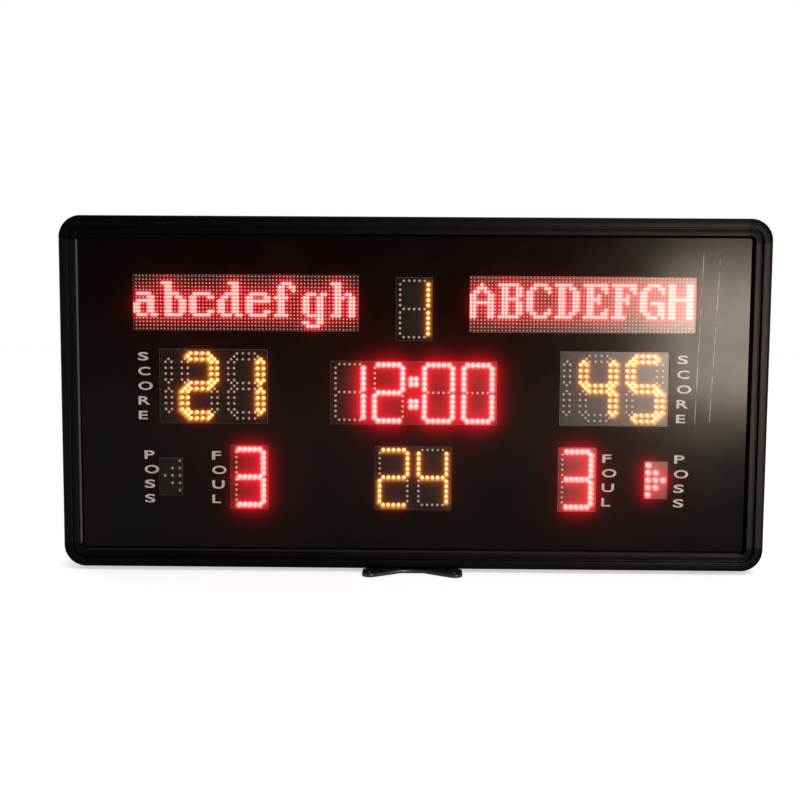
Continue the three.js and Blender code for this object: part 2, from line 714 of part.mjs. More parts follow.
function powerInlet() {
  const faceShape = roundedRectangle(inlet.width, inlet.height, inlet.corner);
  const face = toSolid(standing(faceShape, plateFront, plateBack));
  const body = toSolid(standing(rectangle(inlet.bodyWidth, inlet.bodyHeight), plateBack - inlet.body, plateBack));
  const mouth = toSolid(standing(mouthShape(), plateBack - inlet.mouthDepth, plateBack + overrun));
  const fuseWell = blockBetween(
    [-fuse.width * half - seat, plateBack - fuse.depth - seat, fuse.rise - fuse.height * half - seat],
    [fuse.width * half + seat, plateBack + overrun, fuse.rise + fuse.height * half + seat],
  );
  const switchWell = blockBetween(
    [-rocker.height * half - seat, wellBottom, rocker.rise - rocker.width * half - seat],
    [rocker.height * half + seat, plateBack + overrun, rocker.rise + rocker.width * half + seat],
  );
  const pinY = plateBack - rocker.depth * half;
  const pivotHole = rockerPivot(pinY, holeFor(rocker.pin), rocker.pinReach + seat);
  const earHoles = [-1, 1].map((side) => {
    return rod(side * inlet.ear, 0, plateFront - overrun, plateBack + overrun, inlet.earHole);
  });
  const hollow = cut(join(face, body), mouth, fuseWell, switchWell, pivotHole, ...earHoles);
  const earth = socketMiddle + inlet.earthRise;
  const live = socketMiddle - inlet.pinDrop;
  const whole = join(
    hollow, contactPin(-inlet.pinSpread, live), contactPin(inlet.pinSpread, live), contactPin(0, earth),
  );
  return place('power_inlet', toGeometry(whole), blackNylon(), inlet.x, 0, inlet.z);
}

// The rocker lies with its long side along X and turns about a pin along Z.
function rockerPivot(y, radius, reach) {
  const end = rocker.width * half + reach;
  return post(0, y, rocker.rise - end, rocker.rise + end, radius);
}

function powerRocker() {
  const tilt = THREE.MathUtils.degToRad(rocker.tilt);
  const long = rocker.height * half - seat;
  const pinY = plateBack - rocker.depth * half;
  const face = rocker.depth * half;
  const rise = long * Math.tan(tilt);
  const outline = [
    [-long, -face], [long, -face], [long, face + rise], [0, face], [-long, face + rise],
  ];
  const shape = new THREE.Shape(outline.map(([x, y]) => new THREE.Vector2(x, y)));
  const key = lying(shape, rocker.rise - rocker.width * half, rocker.rise + rocker.width * half);
  key.translate(0, pinY, 0);
  const whole = toGeometry(join(toSolid(key), rockerPivot(pinY, rocker.pin, rocker.pinReach)));
  whole.translate(0, -pinY, 0);
  const mesh = place('power_rocker', whole, blackNylon(), inlet.x, pinY, inlet.z);
  mesh.rotation.z = -tilt;
  return mesh;
}

function fuseDrawer() {
  const drawer = blockBetween(
    [-fuse.width * half, plateBack - fuse.depth, fuse.rise - fuse.height * half],
    [fuse.width * half, plateBack + fuse.front, fuse.rise + fuse.height * half],
  );
  return place('fuse_drawer', toGeometry(drawer), blackNylon(), inlet.x, 0, inlet.z);
}

// Round data connector.
function dataSocket() {
  const front = coverBack + seat;
  const back = front + dataPort.proud;
  const floor = back - dataPort.depth;
  const square = rectangle(dataPort.flange, dataPort.flange);
  const flange = toSolid(standing(square, front, front + dataPort.flangeDepth));
  const barrel = rod(0, 0, front, back, dataPort.barrel);
  const shell = rod(0, 0, front - dataPort.body, back, dataPort.shell);
  const bore = rod(0, 0, floor, back + overrun, dataPort.bore);
  const pins = [];
  for (let i = 0; i < dataPort.pins; i += 1) {
    const turn = (2 * halfTurn * (i + half)) / dataPort.pins;
    const x = dataPort.pinRing * Math.cos(turn);
    const z = dataPort.pinRing * Math.sin(turn);
    pins.push(rod(x, z, floor - dataPort.pinLength * half, floor + dataPort.pinLength, dataPort.pin));
  }
  const whole = join(cut(join(flange, barrel, shell), bore), ...pins);
  return place('data_socket', toGeometry(whole), zincSteel(), dataPort.x, 0, dataPort.z);
}

// Aerial: a socket in the cover, a knuckle that swivels on it and a whip that tilts in the knuckle.
const sleeveFront = coverBack + seat + aerial.nutHeight + seat;
const sleeveBack = sleeveFront + aerial.sleeveLength;
const pivotY = sleeveBack + aerial.pivot;
const receiverBack = coverFront - receiver.gap;

function aerialSocket() {
  const nutFront = coverBack + seat;
  const nut = rod(0, 0, nutFront, nutFront + aerial.nutHeight, aerial.nut, aerial.nut, nutSides);
  const barrel = rod(0, 0, receiverBack + seat, sleeveFront + aerialPlug, aerial.barrel);
  return place('antenna_socket', toGeometry(join(nut, barrel)), brassPlate(), aerial.x, 0, aerial.z);
}

function aerialKnuckle() {
  const sleeve = cut(
    rod(0, 0, sleeveFront, sleeveBack, aerial.sleeve),
    rod(0, 0, sleeveFront - overrun, sleeveFront + aerialPlug + seat, holeFor(aerial.barrel)),
  );
  const ear = (side) => {
    const inside = side * aerial.gap * half;
    const outside = inside + side * aerial.earWidth;
    const [from, to] = [Math.min(inside, outside), Math.max(inside, outside)];
    return join(
      crossRod(pivotY, 0, from, to, aerial.ear),
      blockBetween([from, sleeveBack - overrun, -aerial.ear], [to, pivotY, aerial.ear]),
    );
  };
  const reach = aerial.gap * half + aerial.earWidth * half;
  const trim = rod(0, 0, sleeveFront, pivotY + aerial.ear + overrun, aerial.sleeve);
  const ears = join(ear(-1), ear(1)).intersect(trim);
  const pin = crossRod(pivotY, 0, -reach, reach, aerial.pin);
  const whole = toGeometry(join(sleeve, ears, pin));
  return place('antenna_knuckle', whole, blackNylon(), aerial.x, 0, aerial.z);
}

function aerialWhip() {
  const wide = aerial.gap * half - seat;
  const tongue = crossRod(0, 0, -wide, wide, aerial.tongue);
  const neck = blockBetween([-wide, -aerial.neck, 0], [wide, aerial.neck, aerial.foot]);
  const grip = post(0, 0, aerial.foot - overrun * half, aerial.length, aerial.base, aerial.tip);
  const hole = crossRod(0, 0, -aerial.gap, aerial.gap, holeFor(aerial.pin));
  const whole = cut(join(tongue, neck, grip), hole);
  return place('antenna_whip', toGeometry(whole), blackNylon(), aerial.x, pivotY, aerial.z);
}

// Boards and boxes inside, all carried by the back cover.
function boardOnPosts(size, gap, parts) {
  const back = coverFront - gap;
  const front = back - size.board;
  const inset = size.post * 2;
  const sheet = toSolid(standing(rectangle(size.width, size.height), front, back));
  const places = [[-1, -1], [1, -1], [1, 1], [-1, 1]];
  const posts = places.map(([a, b]) => {
    const x = a * (size.width * half - inset);
    const z = b * (size.height * half - inset);
    return rod(x, z, back - size.board * half, coverFront - seat, size.post);
  });
  const chips = parts.map(([x, z, width, height, thick]) => blockBetween(
    [x - width * half, front - thick, z - height * half],
    [x + width * half, front + size.board * half, z + height * half],
  ));
  return toGeometry(join(sheet, ...posts, ...chips));
}

function receiverBoard() {
  const parts = [[receiver.chip, 0, receiver.chip, receiver.chip, receiver.chipHeight]];
  const geometry = boardOnPosts(receiver, receiver.gap, parts);
  return place('receiver_board', geometry, circuitBoard(), aerial.x, 0, aerial.z);
}

const chip = { wide: 26, tall: 18, thick: 3, plug: 30, plugTall: 9, plugThick: 9, inset: 24 };

function controlBoard() {
  const side = control.width * half - chip.inset;
  const rise = control.height * half - chip.inset * half;
  const parts = [
    [0, 0, chip.wide, chip.wide, chip.thick],
    [-side, 0, chip.wide, chip.tall, chip.thick],
    [side, rise, chip.plug, chip.plugTall, chip.plugThick],
    [-side, rise, chip.plug, chip.plugTall, chip.plugThick],
    [0, -rise, chip.plug, chip.plugTall, chip.plugThick],
  ];
  const geometry = boardOnPosts(control, control.gap, parts);
  return place('control_board', geometry, circuitBoard(), control.x, 0, control.z);
}

const supplyBack = coverFront - seat;
const supplyFront = supplyBack - supply.depth;

function powerSupply() {
  const right = supply.width * half;
  const top = supply.height * half;
  const box = blockBetween([-right, supplyFront, -top], [right, supplyBack, top]);
  const notch = blockBetween(
    [-right - overrun, supplyFront - overrun, -top - overrun],
    [-right + supply.terminal, supplyBack - supply.terminalDepth, top + overrun],
  );
  return place('power_supply', toGeometry(cut(box, notch)), zincSteel(), supply.x, 0, supply.z);
}

function hornUnit() {
  const back = coverFront - seat;
  const front = back - horn.depth;
  const outline = [
    [0, front - horn.driver * half], [horn.driver, front - horn.driver * half], [horn.driver, front],
    [horn.throat + horn.wall, front], [horn.mouth + horn.wall, back - horn.flangeDepth],
    [horn.flange, back - horn.flangeDepth], [horn.flange, back], [horn.mouth, back],
    [horn.throat, front + horn.wall], [0, front + horn.wall],
  ];
  const profile = outline.map(([radius, y]) => new THREE.Vector2(radius, y));
  return place('horn', new THREE.LatheGeometry(profile, roundSteps), blackNylon(), horn.x, 0, horn.z);
}

// Hat shaped hangers with a keyhole, their feet on the back cover.
function hangers() {
  const makeHanger = (name, side) => {
    const low = coverBack + seat;
    const high = low + hanger.rise;
    const thick = hanger.thickness;
    const inner = hanger.top * half;
    const outer = inner + hanger.foot;
    const outline = [
      [-outer, low], [-inner + thick, low], [-inner + thick, high], [inner - thick, high],
      [inner - thick, low], [outer, low], [outer, low + thick], [inner, low + thick],
      [inner, high + thick], [-inner, high + thick], [-inner, low + thick], [-outer, low + thick],
    ];
    const shape = new THREE.Shape(outline.map(([x, y]) => new THREE.Vector2(x, y)));
    const hat = lying(shape, -hanger.width * half, hanger.width * half);
    const slotTop = hanger.slotLength + hanger.slot;
    const eye = rod(0, -hanger.slotLength * half, high - overrun, high + thick + overrun, hanger.eye);
    const slot = blockBetween(
      [-hanger.slot, high - overrun, -hanger.slotLength * half],
      [hanger.slot, high + thick + overrun, slotTop],
    );
    const whole = cut(toSolid(hat), eye, slot);
    return place(name, toGeometry(whole), zincSteel(), side * hanger.x, 0, boardHeight * half - hanger.topDrop);
  };
  return [makeHanger('hanger_left', -1), makeHanger('hanger_right', 1)];
}

// Cross plate: four lobes with a screw hole each, joined by a waisted middle.
function plateShape() {
  const toLobe = new THREE.Vector2(plate.hole - plate.flat, -(plate.hole - plate.waist));
  const lean = toLobe.angle() - 2 * halfTurn - Math.asin(plate.lobe / toLobe.length());
  const start = lean - quarterTurn;
  const shape = new THREE.Shape();
  for (let i = 0; i < 4; i += 1) {
    const turn = i * quarterTurn;
    const centre = new THREE.Vector2(plate.hole, -plate.hole).rotateAround(new THREE.Vector2(), turn);
    const waistStart = new THREE.Vector2(plate.flat, -plate.waist).rotateAround(new THREE.Vector2(), turn);
    if (i === 0) shape.moveTo(waistStart.x, waistStart.y);
    else shape.lineTo(waistStart.x, waistStart.y);
    shape.absarc(centre.x, centre.y, plate.lobe, start + turn, -quarterTurn - start + turn, false);
    const waistEnd = new THREE.Vector2(plate.waist, -plate.flat).rotateAround(new THREE.Vector2(), turn);
    shape.lineTo(waistEnd.x, waistEnd.y);
  }
  shape.closePath();
  return shape;
}

function standPlate() {
  const top = plate.thickness;
  const sheet = new THREE.ExtrudeGeometry(plateShape(), {
    depth: top, bevelEnabled: false, curveSegments: cornerSteps,
  });
  const holes = [[-1, -1], [1, -1], [1, 1], [-1, 1]].flatMap(([a, b]) => {
    const [x, y] = [a * plate.hole, b * plate.hole];
    const sinkDepth = plate.sink - plate.holeRadius;
    return [
      post(x, y, -overrun, top + overrun, plate.holeRadius),
      post(x, y, top - sinkDepth, top + seat, plate.holeRadius, plate.sink + seat),
    ];
  });
  const bolts = [-1, 1].flatMap((side) => {
    const x = side * standBolt.spread;
    return [
      post(x, 0, -overrun, top + overrun, holeFor(standBolt.shank)),
      post(x, 0, -seat, standBolt.headHeight + seat, holeFor(standBolt.head + seat), holeFor(standBolt.shank)),
    ];
  });
  const poleRadius = holeFor(socket.bore + socket.wall, poleSteps);
  const pole = post(0, 0, -overrun, top + overrun, poleRadius, poleRadius, poleSteps);
  return place('stand_plate', toGeometry(cut(toSolid(sheet), pole, ...holes, ...bolts)), blackSteel());
}

const flangeBottom = boardBottom + frame.wall + seat;
const flangeTop = flangeBottom + socket.flange;

function standBolts() {
  return [-1, 1].map((side) => {
    const head = post(0, 0, seat, seat + standBolt.headHeight, standBolt.head, standBolt.shank);
    const shank = post(0, 0, seat + standBolt.headHeight * half, flangeTop, standBolt.shank);
    const name = side < 0 ? 'stand_bolt_left' : 'stand_bolt_right';
    return place(name, toGeometry(join(head, shank)), zincSteel(), side * standBolt.spread, 0, 0);
  });
}

// A closed tube for a tripod pole, with a threaded boss for the clamp screw.
function poleSocket() {
  const outer = socket.bore + socket.wall;
  const top = socketTop;
  const outline = [
    [0, socketDepth], [socket.bore, socketDepth], [socket.bore, seat], [outer, seat], [outer, top], [0, top],
  ];
  const profile = outline.map(([radius, z]) => new THREE.Vector2(radius, z));
  const tube = new THREE.LatheGeometry(profile, poleSteps);
  tube.rotateX(quarterTurn);
  const bossSolid = rod(0, clampZ, socket.bore + socket.wall * half, coverFront - seat, clamp.boss);
  const whole = cut(
    join(toSolid(tube), bossSolid),
    post(0, 0, -overrun, socketDepth, socket.bore, socket.bore, poleSteps),
    rod(0, clampZ, socket.bore * half, coverBack, holeFor(clamp.shaft)),
  );
  return place('pole_socket', toGeometry(whole), blackSteel());
}

// The flange round the tube, which sits on the bottom rail and takes the bolts.
function socketFlange() {
  const sheet = blockBetween(
    [-socket.flangeWidth * half, -socket.flangeDepth * half, flangeBottom],
    [socket.flangeWidth * half, socket.flangeDepth * half, flangeTop],
  );
  const tubeRadius = holeFor(socket.bore + socket.wall, poleSteps);
  const whole = cut(
    sheet,
    post(0, 0, flangeBottom - overrun, flangeTop + overrun, tubeRadius, tubeRadius, poleSteps),
    ...[-1, 1].map((side) => {
      const x = side * standBolt.spread;
      return post(x, 0, flangeBottom - overrun, flangeTop + overrun, holeFor(standBolt.shank));
    }),
  );
  return place('socket_flange', toGeometry(whole), blackSteel());
}

// Hand knob with scalloped rim on the clamp screw.
function clampKnob() {
  const front = coverBack + seat;
  const hubBack = front + clamp.hubLength;
  const back = hubBack + clamp.knobLength;
  const steps = clamp.lobes * cornerSteps;
  const points = [];
  for (let i = 0; i < steps; i += 1) {
    const turn = (2 * halfTurn * i) / steps;
    const radius = clamp.knob - clamp.scallop * (1 + Math.cos(clamp.lobes * turn));
    points.push(new THREE.Vector2(radius * Math.cos(turn), radius * Math.sin(turn)));
  }
  const grip = toSolid(standing(new THREE.Shape(points), hubBack, back));
  const hub = rod(0, 0, front, hubBack + overrun * half, clamp.hub);
  const shaft = rod(0, 0, socket.bore + seat, front + overrun * half, clamp.shaft);
  return place('clamp_knob', toGeometry(join(grip, hub, shaft)), blackNylon(), 0, 0, clampZ);
}

// Mains lead: out of the inlet's front, up behind the lamp modules and along the supply's terminals.
function mainsLead() {
  const start = new THREE.Vector3(inlet.x, plateBack - inlet.body - seat, inlet.z);
  const end = new THREE.Vector3(
    supply.x - supply.width * half + supply.terminal - seat,
    supplyBack - supply.terminalDepth - lead.radius - seat,
    supply.z - lead.drop,
  );
  const leave = start.clone().setY(start.y - lead.stub);
  const arrive = end.clone().setX(end.x - supply.terminal);
  const low = leave.clone().setZ(leave.z + lead.climb).setX(leave.x - lead.sway);
  const high = arrive.clone().setX(arrive.x - lead.stub).setZ(arrive.z - lead.stub);
  const route = new THREE.CatmullRomCurve3([start, leave, low, high, arrive, end]);
  const ring = new THREE.Shape();
  ring.absarc(0, 0, lead.radius, 0, 2 * halfTurn);
  const geometry = new THREE.ExtrudeGeometry(ring, {
    steps: lead.steps, curveSegments: lead.sides * half, bevelEnabled: false, extrudePath: route,
  });
  return place('mains_lead', geometry, leadSleeve());
}

const cabinet = new THREE.Group();
cabinet.position.z = boardMiddle;
cabinet.add(
  ...frameRails(), ...frameCorners(), frontPanel(), rearCover(), ...coverScrews(),
  powerInlet(), powerRocker(), fuseDrawer(), dataSocket(),
  aerialSocket(), aerialKnuckle(), aerialWhip(),
  receiverBoard(), controlBoard(), powerSupply(), hornUnit(), mainsLead(), ...hangers(),
);
displays.forEach((item) => cabinet.add(windowPane(item), lampModule(item)));

const scoreboard = new THREE.Group();
scoreboard.add(cabinet, standPlate(), ...standBolts(), poleSocket(), socketFlange(), clampKnob());

export default scoreboard;
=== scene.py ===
import math

import bmesh
import bpy
import numpy as np
from mathutils import Matrix, Vector


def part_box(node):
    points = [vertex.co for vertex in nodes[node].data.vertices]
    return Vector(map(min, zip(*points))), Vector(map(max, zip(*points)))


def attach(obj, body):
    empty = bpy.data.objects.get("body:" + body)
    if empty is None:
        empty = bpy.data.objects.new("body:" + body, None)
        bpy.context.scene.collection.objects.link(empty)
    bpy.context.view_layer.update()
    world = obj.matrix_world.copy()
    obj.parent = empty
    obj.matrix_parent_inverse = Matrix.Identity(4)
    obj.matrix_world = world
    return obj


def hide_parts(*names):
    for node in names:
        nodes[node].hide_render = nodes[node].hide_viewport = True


# An electronic scoreboard for hall sports. +X is to the right seen from the front, +Y to the back and +Z up.
# Shapes are drawn in millimetres and become metres when a piece is finished.
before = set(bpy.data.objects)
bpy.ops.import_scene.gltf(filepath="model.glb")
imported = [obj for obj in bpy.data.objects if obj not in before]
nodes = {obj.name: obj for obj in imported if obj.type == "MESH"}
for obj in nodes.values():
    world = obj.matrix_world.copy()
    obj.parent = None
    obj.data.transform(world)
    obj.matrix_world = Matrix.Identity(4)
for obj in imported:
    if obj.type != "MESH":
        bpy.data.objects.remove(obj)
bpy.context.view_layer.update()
scene = bpy.context.scene
perMetre = 1000
quarter = math.pi / 2


# Small helpers
def colour(code):  # sRGB hex to linear, with alpha
    parts = [int(code[i:i + 2], 16) / 255 for i in (0, 2, 4)]
    linear = [p / 12.92 if p <= 0.04045 else ((p + 0.055) / 1.055) ** 2.4 for p in parts]
    return (*linear, 1.0)


def boxOf(node):  # lowest and highest corners in millimetres
    low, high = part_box(node)
    return low * perMetre, high * perMetre


def middleOf(node, axes=(0, 2)):  # x and z of a node's middle, or other axes
    low, high = boxOf(node)
    return [(low[i] + high[i]) / 2 for i in axes]


def addNode(tree, kind, links=None, stops=(), **settings):
    node = tree.nodes.new("ShaderNode" + kind)
    for key, value in settings.items():
        setattr(node, key, value)
    for key, value in (links or {}).items():  # an input takes a socket, a node's first socket or a value
        if isinstance(value, bpy.types.Node):
            value = value.outputs[0]
        if isinstance(value, bpy.types.NodeSocket):
            tree.links.new(value, node.inputs[key])
        else:
            node.inputs[key].default_value = value
    if stops:  # places and colours on a colour ramp
        for element, (place, code) in zip(node.color_ramp.elements, stops):
            element.position, element.color = place, colour(code)
    return node


def startMaterial(name):  # an empty material and its object coordinates
    material = bpy.data.materials.new(name)
    material.use_nodes = True
    tree = material.node_tree
    tree.nodes.clear()
    return material, tree, addNode(tree, "TexCoord").outputs["Object"]


def addObject(name, data):
    item = bpy.data.objects.new(name, data)
    scene.collection.objects.link(item)
    return item


def meshOf(name, bm):  # uses the bmesh up
    mesh = bpy.data.meshes.new(name)
    bm.to_mesh(mesh)
    bm.free()
    return mesh


def settledMesh(item):  # what a modifier or a text makes of an object, which is used up
    view = bpy.context.evaluated_depsgraph_get()
    mesh = bpy.data.meshes.new_from_object(item.evaluated_get(view))
    bpy.data.objects.remove(item)
    return mesh


def finishPiece(name, bm, materials, replaced=(), body="cabinet", smooth=32):
    bmesh.ops.scale(bm, vec=(1 / perMetre,) * 3, verts=bm.verts)
    mesh = meshOf(name, bm)
    for material in materials:
        mesh.materials.append(material)
    if smooth:
        mesh.shade_smooth()
        mesh.set_sharp_from_angle(angle=math.radians(smooth))
    piece = addObject(name, mesh)
    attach(piece, body)
    if replaced:
        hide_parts(*replaced)
    return piece


def finishNode(node, ending, bm, materials, **more):  # a piece that takes the place of one node
    return finishPiece(f"{node}_{ending}", bm, materials, [node], **more)


def faceOut(bm):
    bmesh.ops.recalc_face_normals(bm, faces=bm.faces)


def closeShell(bm):
    bmesh.ops.remove_doubles(bm, verts=bm.verts, dist=0.001)
    faceOut(bm)


def pushFaces(bm, faces, move, keep=True):  # extrudes faces along a vector and returns the far faces
    grown = bmesh.ops.extrude_face_region(bm, geom=faces)["geom"]
    bmesh.ops.translate(bm, vec=move, verts=[item for item in grown if isinstance(item, bmesh.types.BMVert)])
    if not keep:
        bmesh.ops.delete(bm, geom=faces, context="FACES_ONLY")
    return [item for item in grown if isinstance(item, bmesh.types.BMFace)]


def sinkFace(bm, direction, lip, depth):  # sets the face that looks along a direction back, inside a lip
    bm.normal_update()
    faces = [face for face in bm.faces if face.normal.dot(Vector(direction)) > 0.99]
    bmesh.ops.inset_region(bm, faces=faces, thickness=lip, depth=0, use_even_offset=True)
    pushFaces(bm, faces, Vector(direction) * -depth, keep=False)


def bevelEdges(bm, edges, width, segments=2):
    bmesh.ops.bevel(
        bm, geom=edges, offset=width, offset_type="OFFSET", segments=segments, profile=0.5,
        affect="EDGES", clamp_overlap=True, material=-1,
    )


def sharpEdges(bm, least=50):
    turn = math.radians(least)
    return [edge for edge in bm.edges if len(edge.link_faces) == 2 and edge.calc_face_angle(0) > turn]


def rimAt(bm, y):  # the sharp edges that lie in one plane across Y
    return [edge for edge in sharpEdges(bm, 30) if all(abs(v.co.y - y) < 0.005 for v in edge.verts)]


def soften(bm, width, least=50):  # rounds every sharp edge
    faceOut(bm)
    bevelEdges(bm, sharpEdges(bm, least), width)


def addBlock(bm, low, high):
    low, high = Vector(low), Vector(high)
    place = Matrix.Translation((low + high) / 2) @ Matrix.Diagonal((*(high - low), 1))
    return bmesh.ops.create_cube(bm, size=1, matrix=place)["verts"]


def addRounded(bm, low, high, axis, rounding, steps=5):  # a block whose four edges along an axis are round
    edges = {edge for vert in addBlock(bm, low, high) for edge in vert.link_edges}
    along = [edge for edge in edges if abs(edge.verts[0].co[axis] - edge.verts[1].co[axis]) > 1e-4]
    bevelEdges(bm, along, rounding, steps)
    return bm


def addSlab(bm, x, z, width, height, low, high, rounding, steps=5):  # the same along Y, by middle and size
    near, far = (x - width / 2, low, z - height / 2), (x + width / 2, high, z + height / 2)
    return addRounded(bm, near, far, 1, rounding, steps)


barTurns = {"X": Matrix.Rotation(quarter, 4, "Y"), "Y": Matrix.Rotation(-quarter, 4, "X"), "Z": Matrix()}


def addBar(bm, axis, across, low, high, radius, sides=40):  # a round bar from low to high along an axis
    centre = list(across)
    centre.insert("XYZ".index(axis), (low + high) / 2)
    bmesh.ops.create_cone(
        bm, cap_ends=True, segments=sides, radius1=radius, radius2=radius, depth=high - low,
        matrix=Matrix.Translation(centre) @ barTurns[axis],
    )
    return bm


def addTurned(bm, profile, centre, axis="Y", steps=40):  # profile: radius and place along the axis
    x, y, z = centre
    if axis == "Y":
        line, places = (0, 1, 0), [(x + radius, y + along, z) for radius, along in profile]
    else:
        line, places = (0, 0, 1), [(x + radius, y, z + along) for radius, along in profile]
    verts = [bm.verts.new(place) for place in places]
    edges = [bm.edges.new(pair) for pair in zip(verts, verts[1:])]
    bmesh.ops.spin(
        bm, geom=[*verts, *edges], cent=centre, axis=line, angle=2 * math.pi, steps=steps, use_merge=True,
    )
    bmesh.ops.remove_doubles(bm, verts=bm.verts, dist=0.001)
    return bm


def addOutline(bm, points, move):  # a flat outline pushed along a vector
    verts = [bm.verts.new(point) for point in points]
    pushFaces(bm, [bm.faces.new(verts)], move)
    return bm


def trimmed(bm, cutter, operation="DIFFERENCE", close=True):  # a boolean of two meshes, both used up
    items = []
    for name, shape in (("uncut", bm), ("cutter", cutter)):
        faceOut(shape)
        items.append(addObject(name, meshOf(name, shape)))
    modifier = items[0].modifiers.new("cut", "BOOLEAN")
    modifier.object, modifier.operation, modifier.solver = items[1], operation, "EXACT"
    result = bmesh.new()
    result.from_mesh(settledMesh(items[0]))
    bpy.data.objects.remove(items[1])
    if close:
        closeShell(result)
    return result


def absorb(bm, other):  # takes another mesh in, which is used up
    bm.from_mesh(meshOf("absorbed", other))


def paintNew(bm, known, index):  # gives the faces added since then another material
    for face in bm.faces:
        if face not in known:
            face.material_index = index


def turnAndMove(bm, verts, turn, axis, move):  # turns about the origin first
    bmesh.ops.rotate(bm, cent=(0, 0, 0), matrix=Matrix.Rotation(turn, 3, axis), verts=verts)
    bmesh.ops.translate(bm, vec=move, verts=verts)


def fourPlaces(x, y, z, across, along):
    return [(x + i * across, y, z + j * along) for i in (-1, 1) for j in (-1, 1)]


# Materials. Each is built on object coordinates. Patch and grain are the sizes of the cloudy and the fine
# pattern in millimetres, rough is the range of the roughness and bump is the height of the grain.
def madeSurface(name, slot, tones, patch, grain, rough, bump, metallic=0.0, specular=0.5, along=(1, 1, 1)):
    material, tree, place = startMaterial(name)
    place = addNode(tree, "Mapping", {"Vector": place, "Scale": along})
    cloudy = addNode(tree, "TexNoise", {"Vector": place, "Scale": perMetre / patch, "Detail": 3.0})
    fine = addNode(tree, "TexNoise", {"Vector": place, "Scale": perMetre / grain, "Detail": 2.0})
    shader = addNode(tree, "BsdfPrincipled", {
        "Base Color": addNode(tree, "ValToRGB", {"Fac": cloudy}, [*zip((0.35, 0.65), tones)]),
        "Roughness": addNode(tree, "MapRange", {
            "Value": fine, "From Min": 0.3, "From Max": 0.7, "To Min": rough[0], "To Max": rough[1],
        }),
        "Normal": addNode(tree, "Bump", {"Height": fine, "Strength": 0.4, "Distance": bump / perMetre}),
        "Metallic": metallic, "Specular IOR Level": specular,
    })
    addNode(tree, "OutputMaterial", {"Surface": shader})
    return material


# Black anodised aluminium: extrusion streaks run along each rail, which gives a soft satin line.
alongX, alongZ = (0.02, 1, 1), (1, 1, 0.02)
anodised = {"patch": 40, "grain": 0.8, "rough": (0.34, 0.44), "bump": 0.02, "metallic": 1.0}
anodisedAlongX = madeSurface(
    "black_anodised_aluminium_x", "anodised_frame", ("0d0b0b", "131111"), along=alongX, **anodised,
)
# The upright rails get paler tones than the top and bottom ones: painted light, as if the light from the side
# fell on them.
anodisedAlongZPaintedLighter = madeSurface(
    "black_anodised_aluminium_z_painted_lighter", "anodised_frame", ("141213", "1d1b1b"), along=alongZ, **anodised,
)
# Painted highlight: the inner slopes of the lower and the left lip get paler tones, the left one palest, as
# if they caught the light. This draws thin pale lines along the panel.
paintedLipHighlight = {"patch": 30, "grain": 0.6, "rough": (0.4, 0.55), "bump": 0.02, "specular": 0.2}
paintedLipHighlightX = madeSurface("lip_painted_highlight_x", "anodised_frame", ("1f1b19", "2b2623"), along=alongX, **paintedLipHighlight)
paintedLipHighlightZ = madeSurface("lip_painted_highlight_z", "anodised_frame", ("47423e", "544e49"), along=alongZ, **paintedLipHighlight)
# Moulded ABS corners: darker and glossier than the rails, with a faint flow pattern.
mouldedCorner = madeSurface(
    "moulded_abs_corner", "corner_plastic", ("040303", "090808"), 18, 0.9, (0.3, 0.4), 0.015, specular=0.035,
)
# Powder coated sheet steel: an even orange peel that breaks up reflections.
powderCoat = madeSurface(
    "powder_coated_steel", "cover_coat", ("1d1d1f", "252527"), 60, 1.2, (0.42, 0.62), 0.12,
)
# Zinc plated steel: bright with cloudy passivation.
zincPlate = madeSurface(
    "zinc_plated_steel", "zinc_steel", ("a9adb0", "cbcccb"), 6, 0.7, (0.22, 0.4), 0.02, metallic=1.0,
)
# Satin black paint on steel.
blackPaint = madeSurface(
    "black_painted_steel", "black_steel", ("121111", "1c1b1b"), 25, 0.9, (0.28, 0.42), 0.05,
)
# Moulded nylon: matt with a fine spark-eroded grain.
blackNylon = madeSurface("moulded_nylon", "black_nylon", ("131313", "1c1c1c"), 12, 0.6, (0.45, 0.62), 0.06)
# Plated brass: warm and smooth, the only yellow metal on the back.
brass = madeSurface(
    "plated_brass", "brass_plate", ("b8923f", "d9b766"), 3, 0.5, (0.2, 0.34), 0.01, metallic=1.0,
)
# Green solder mask with copper pours showing through as a change of tone.
solderMask = madeSurface("solder_mask", "circuit_board", ("0b4a2a", "166b3e"), 7, 0.9, (0.25, 0.4), 0.03)
# Soft PVC: dull, almost black.
leadSleeve = madeSurface("soft_pvc_sleeve", None, ("0c0c0d", "141415"), 8, 0.8, (0.5, 0.65), 0.03)
# Module faces: matt black moulding round the lamps.
moduleFace = madeSurface(
    "matt_module_moulding", "led_module", ("0e0b0a", "14110f"), 14, 1.0, (0.6, 0.8), 0.08, specular=0.15,
)
# Printed legends: pale grey ink with a slight sheen, a little duller than white.
legendInk = madeSurface(
    "screen_printed_ink", "legend_print", ("9a9290", "aca3a1"), 3, 0.5, (0.16, 0.26), 0.01, specular=0.12,
)


# Epoxy lamp bodies. The tip of a lit lamp is nearly white and its foot has the lamp's own colour.
lampPlaces = {"foot": -16.0, "tip": -20.0}


def lampMaterial(name, tones, power, zone):
    material, tree, place = startMaterial(name)
    depth = addNode(tree, "SeparateXYZ", {"Vector": place}).outputs["Y"]
    height = addNode(tree, "MapRange", {
        "Value": depth, "From Min": lampPlaces["foot"] / perMetre, "From Max": lampPlaces["tip"] / perMetre,
    })
    tone = addNode(tree, "ValToRGB", {"Fac": height}, [*zip(zone, tones)])
    spread = addNode(tree, "TexNoise", {"Vector": place, "Scale": perMetre / 9, "Detail": 1.0})
    rough = addNode(tree, "MapRange", {"Value": spread, "To Min": 0.18, "To Max": 0.34})
    shader = addNode(tree, "BsdfPrincipled", {
        "Base Color": tone, "Roughness": rough, "Emission Color": tone, "Emission Strength": power,
    })
    addNode(tree, "OutputMaterial", {"Surface": shader})
    material.cycles.emission_sampling = "NONE"
    return material


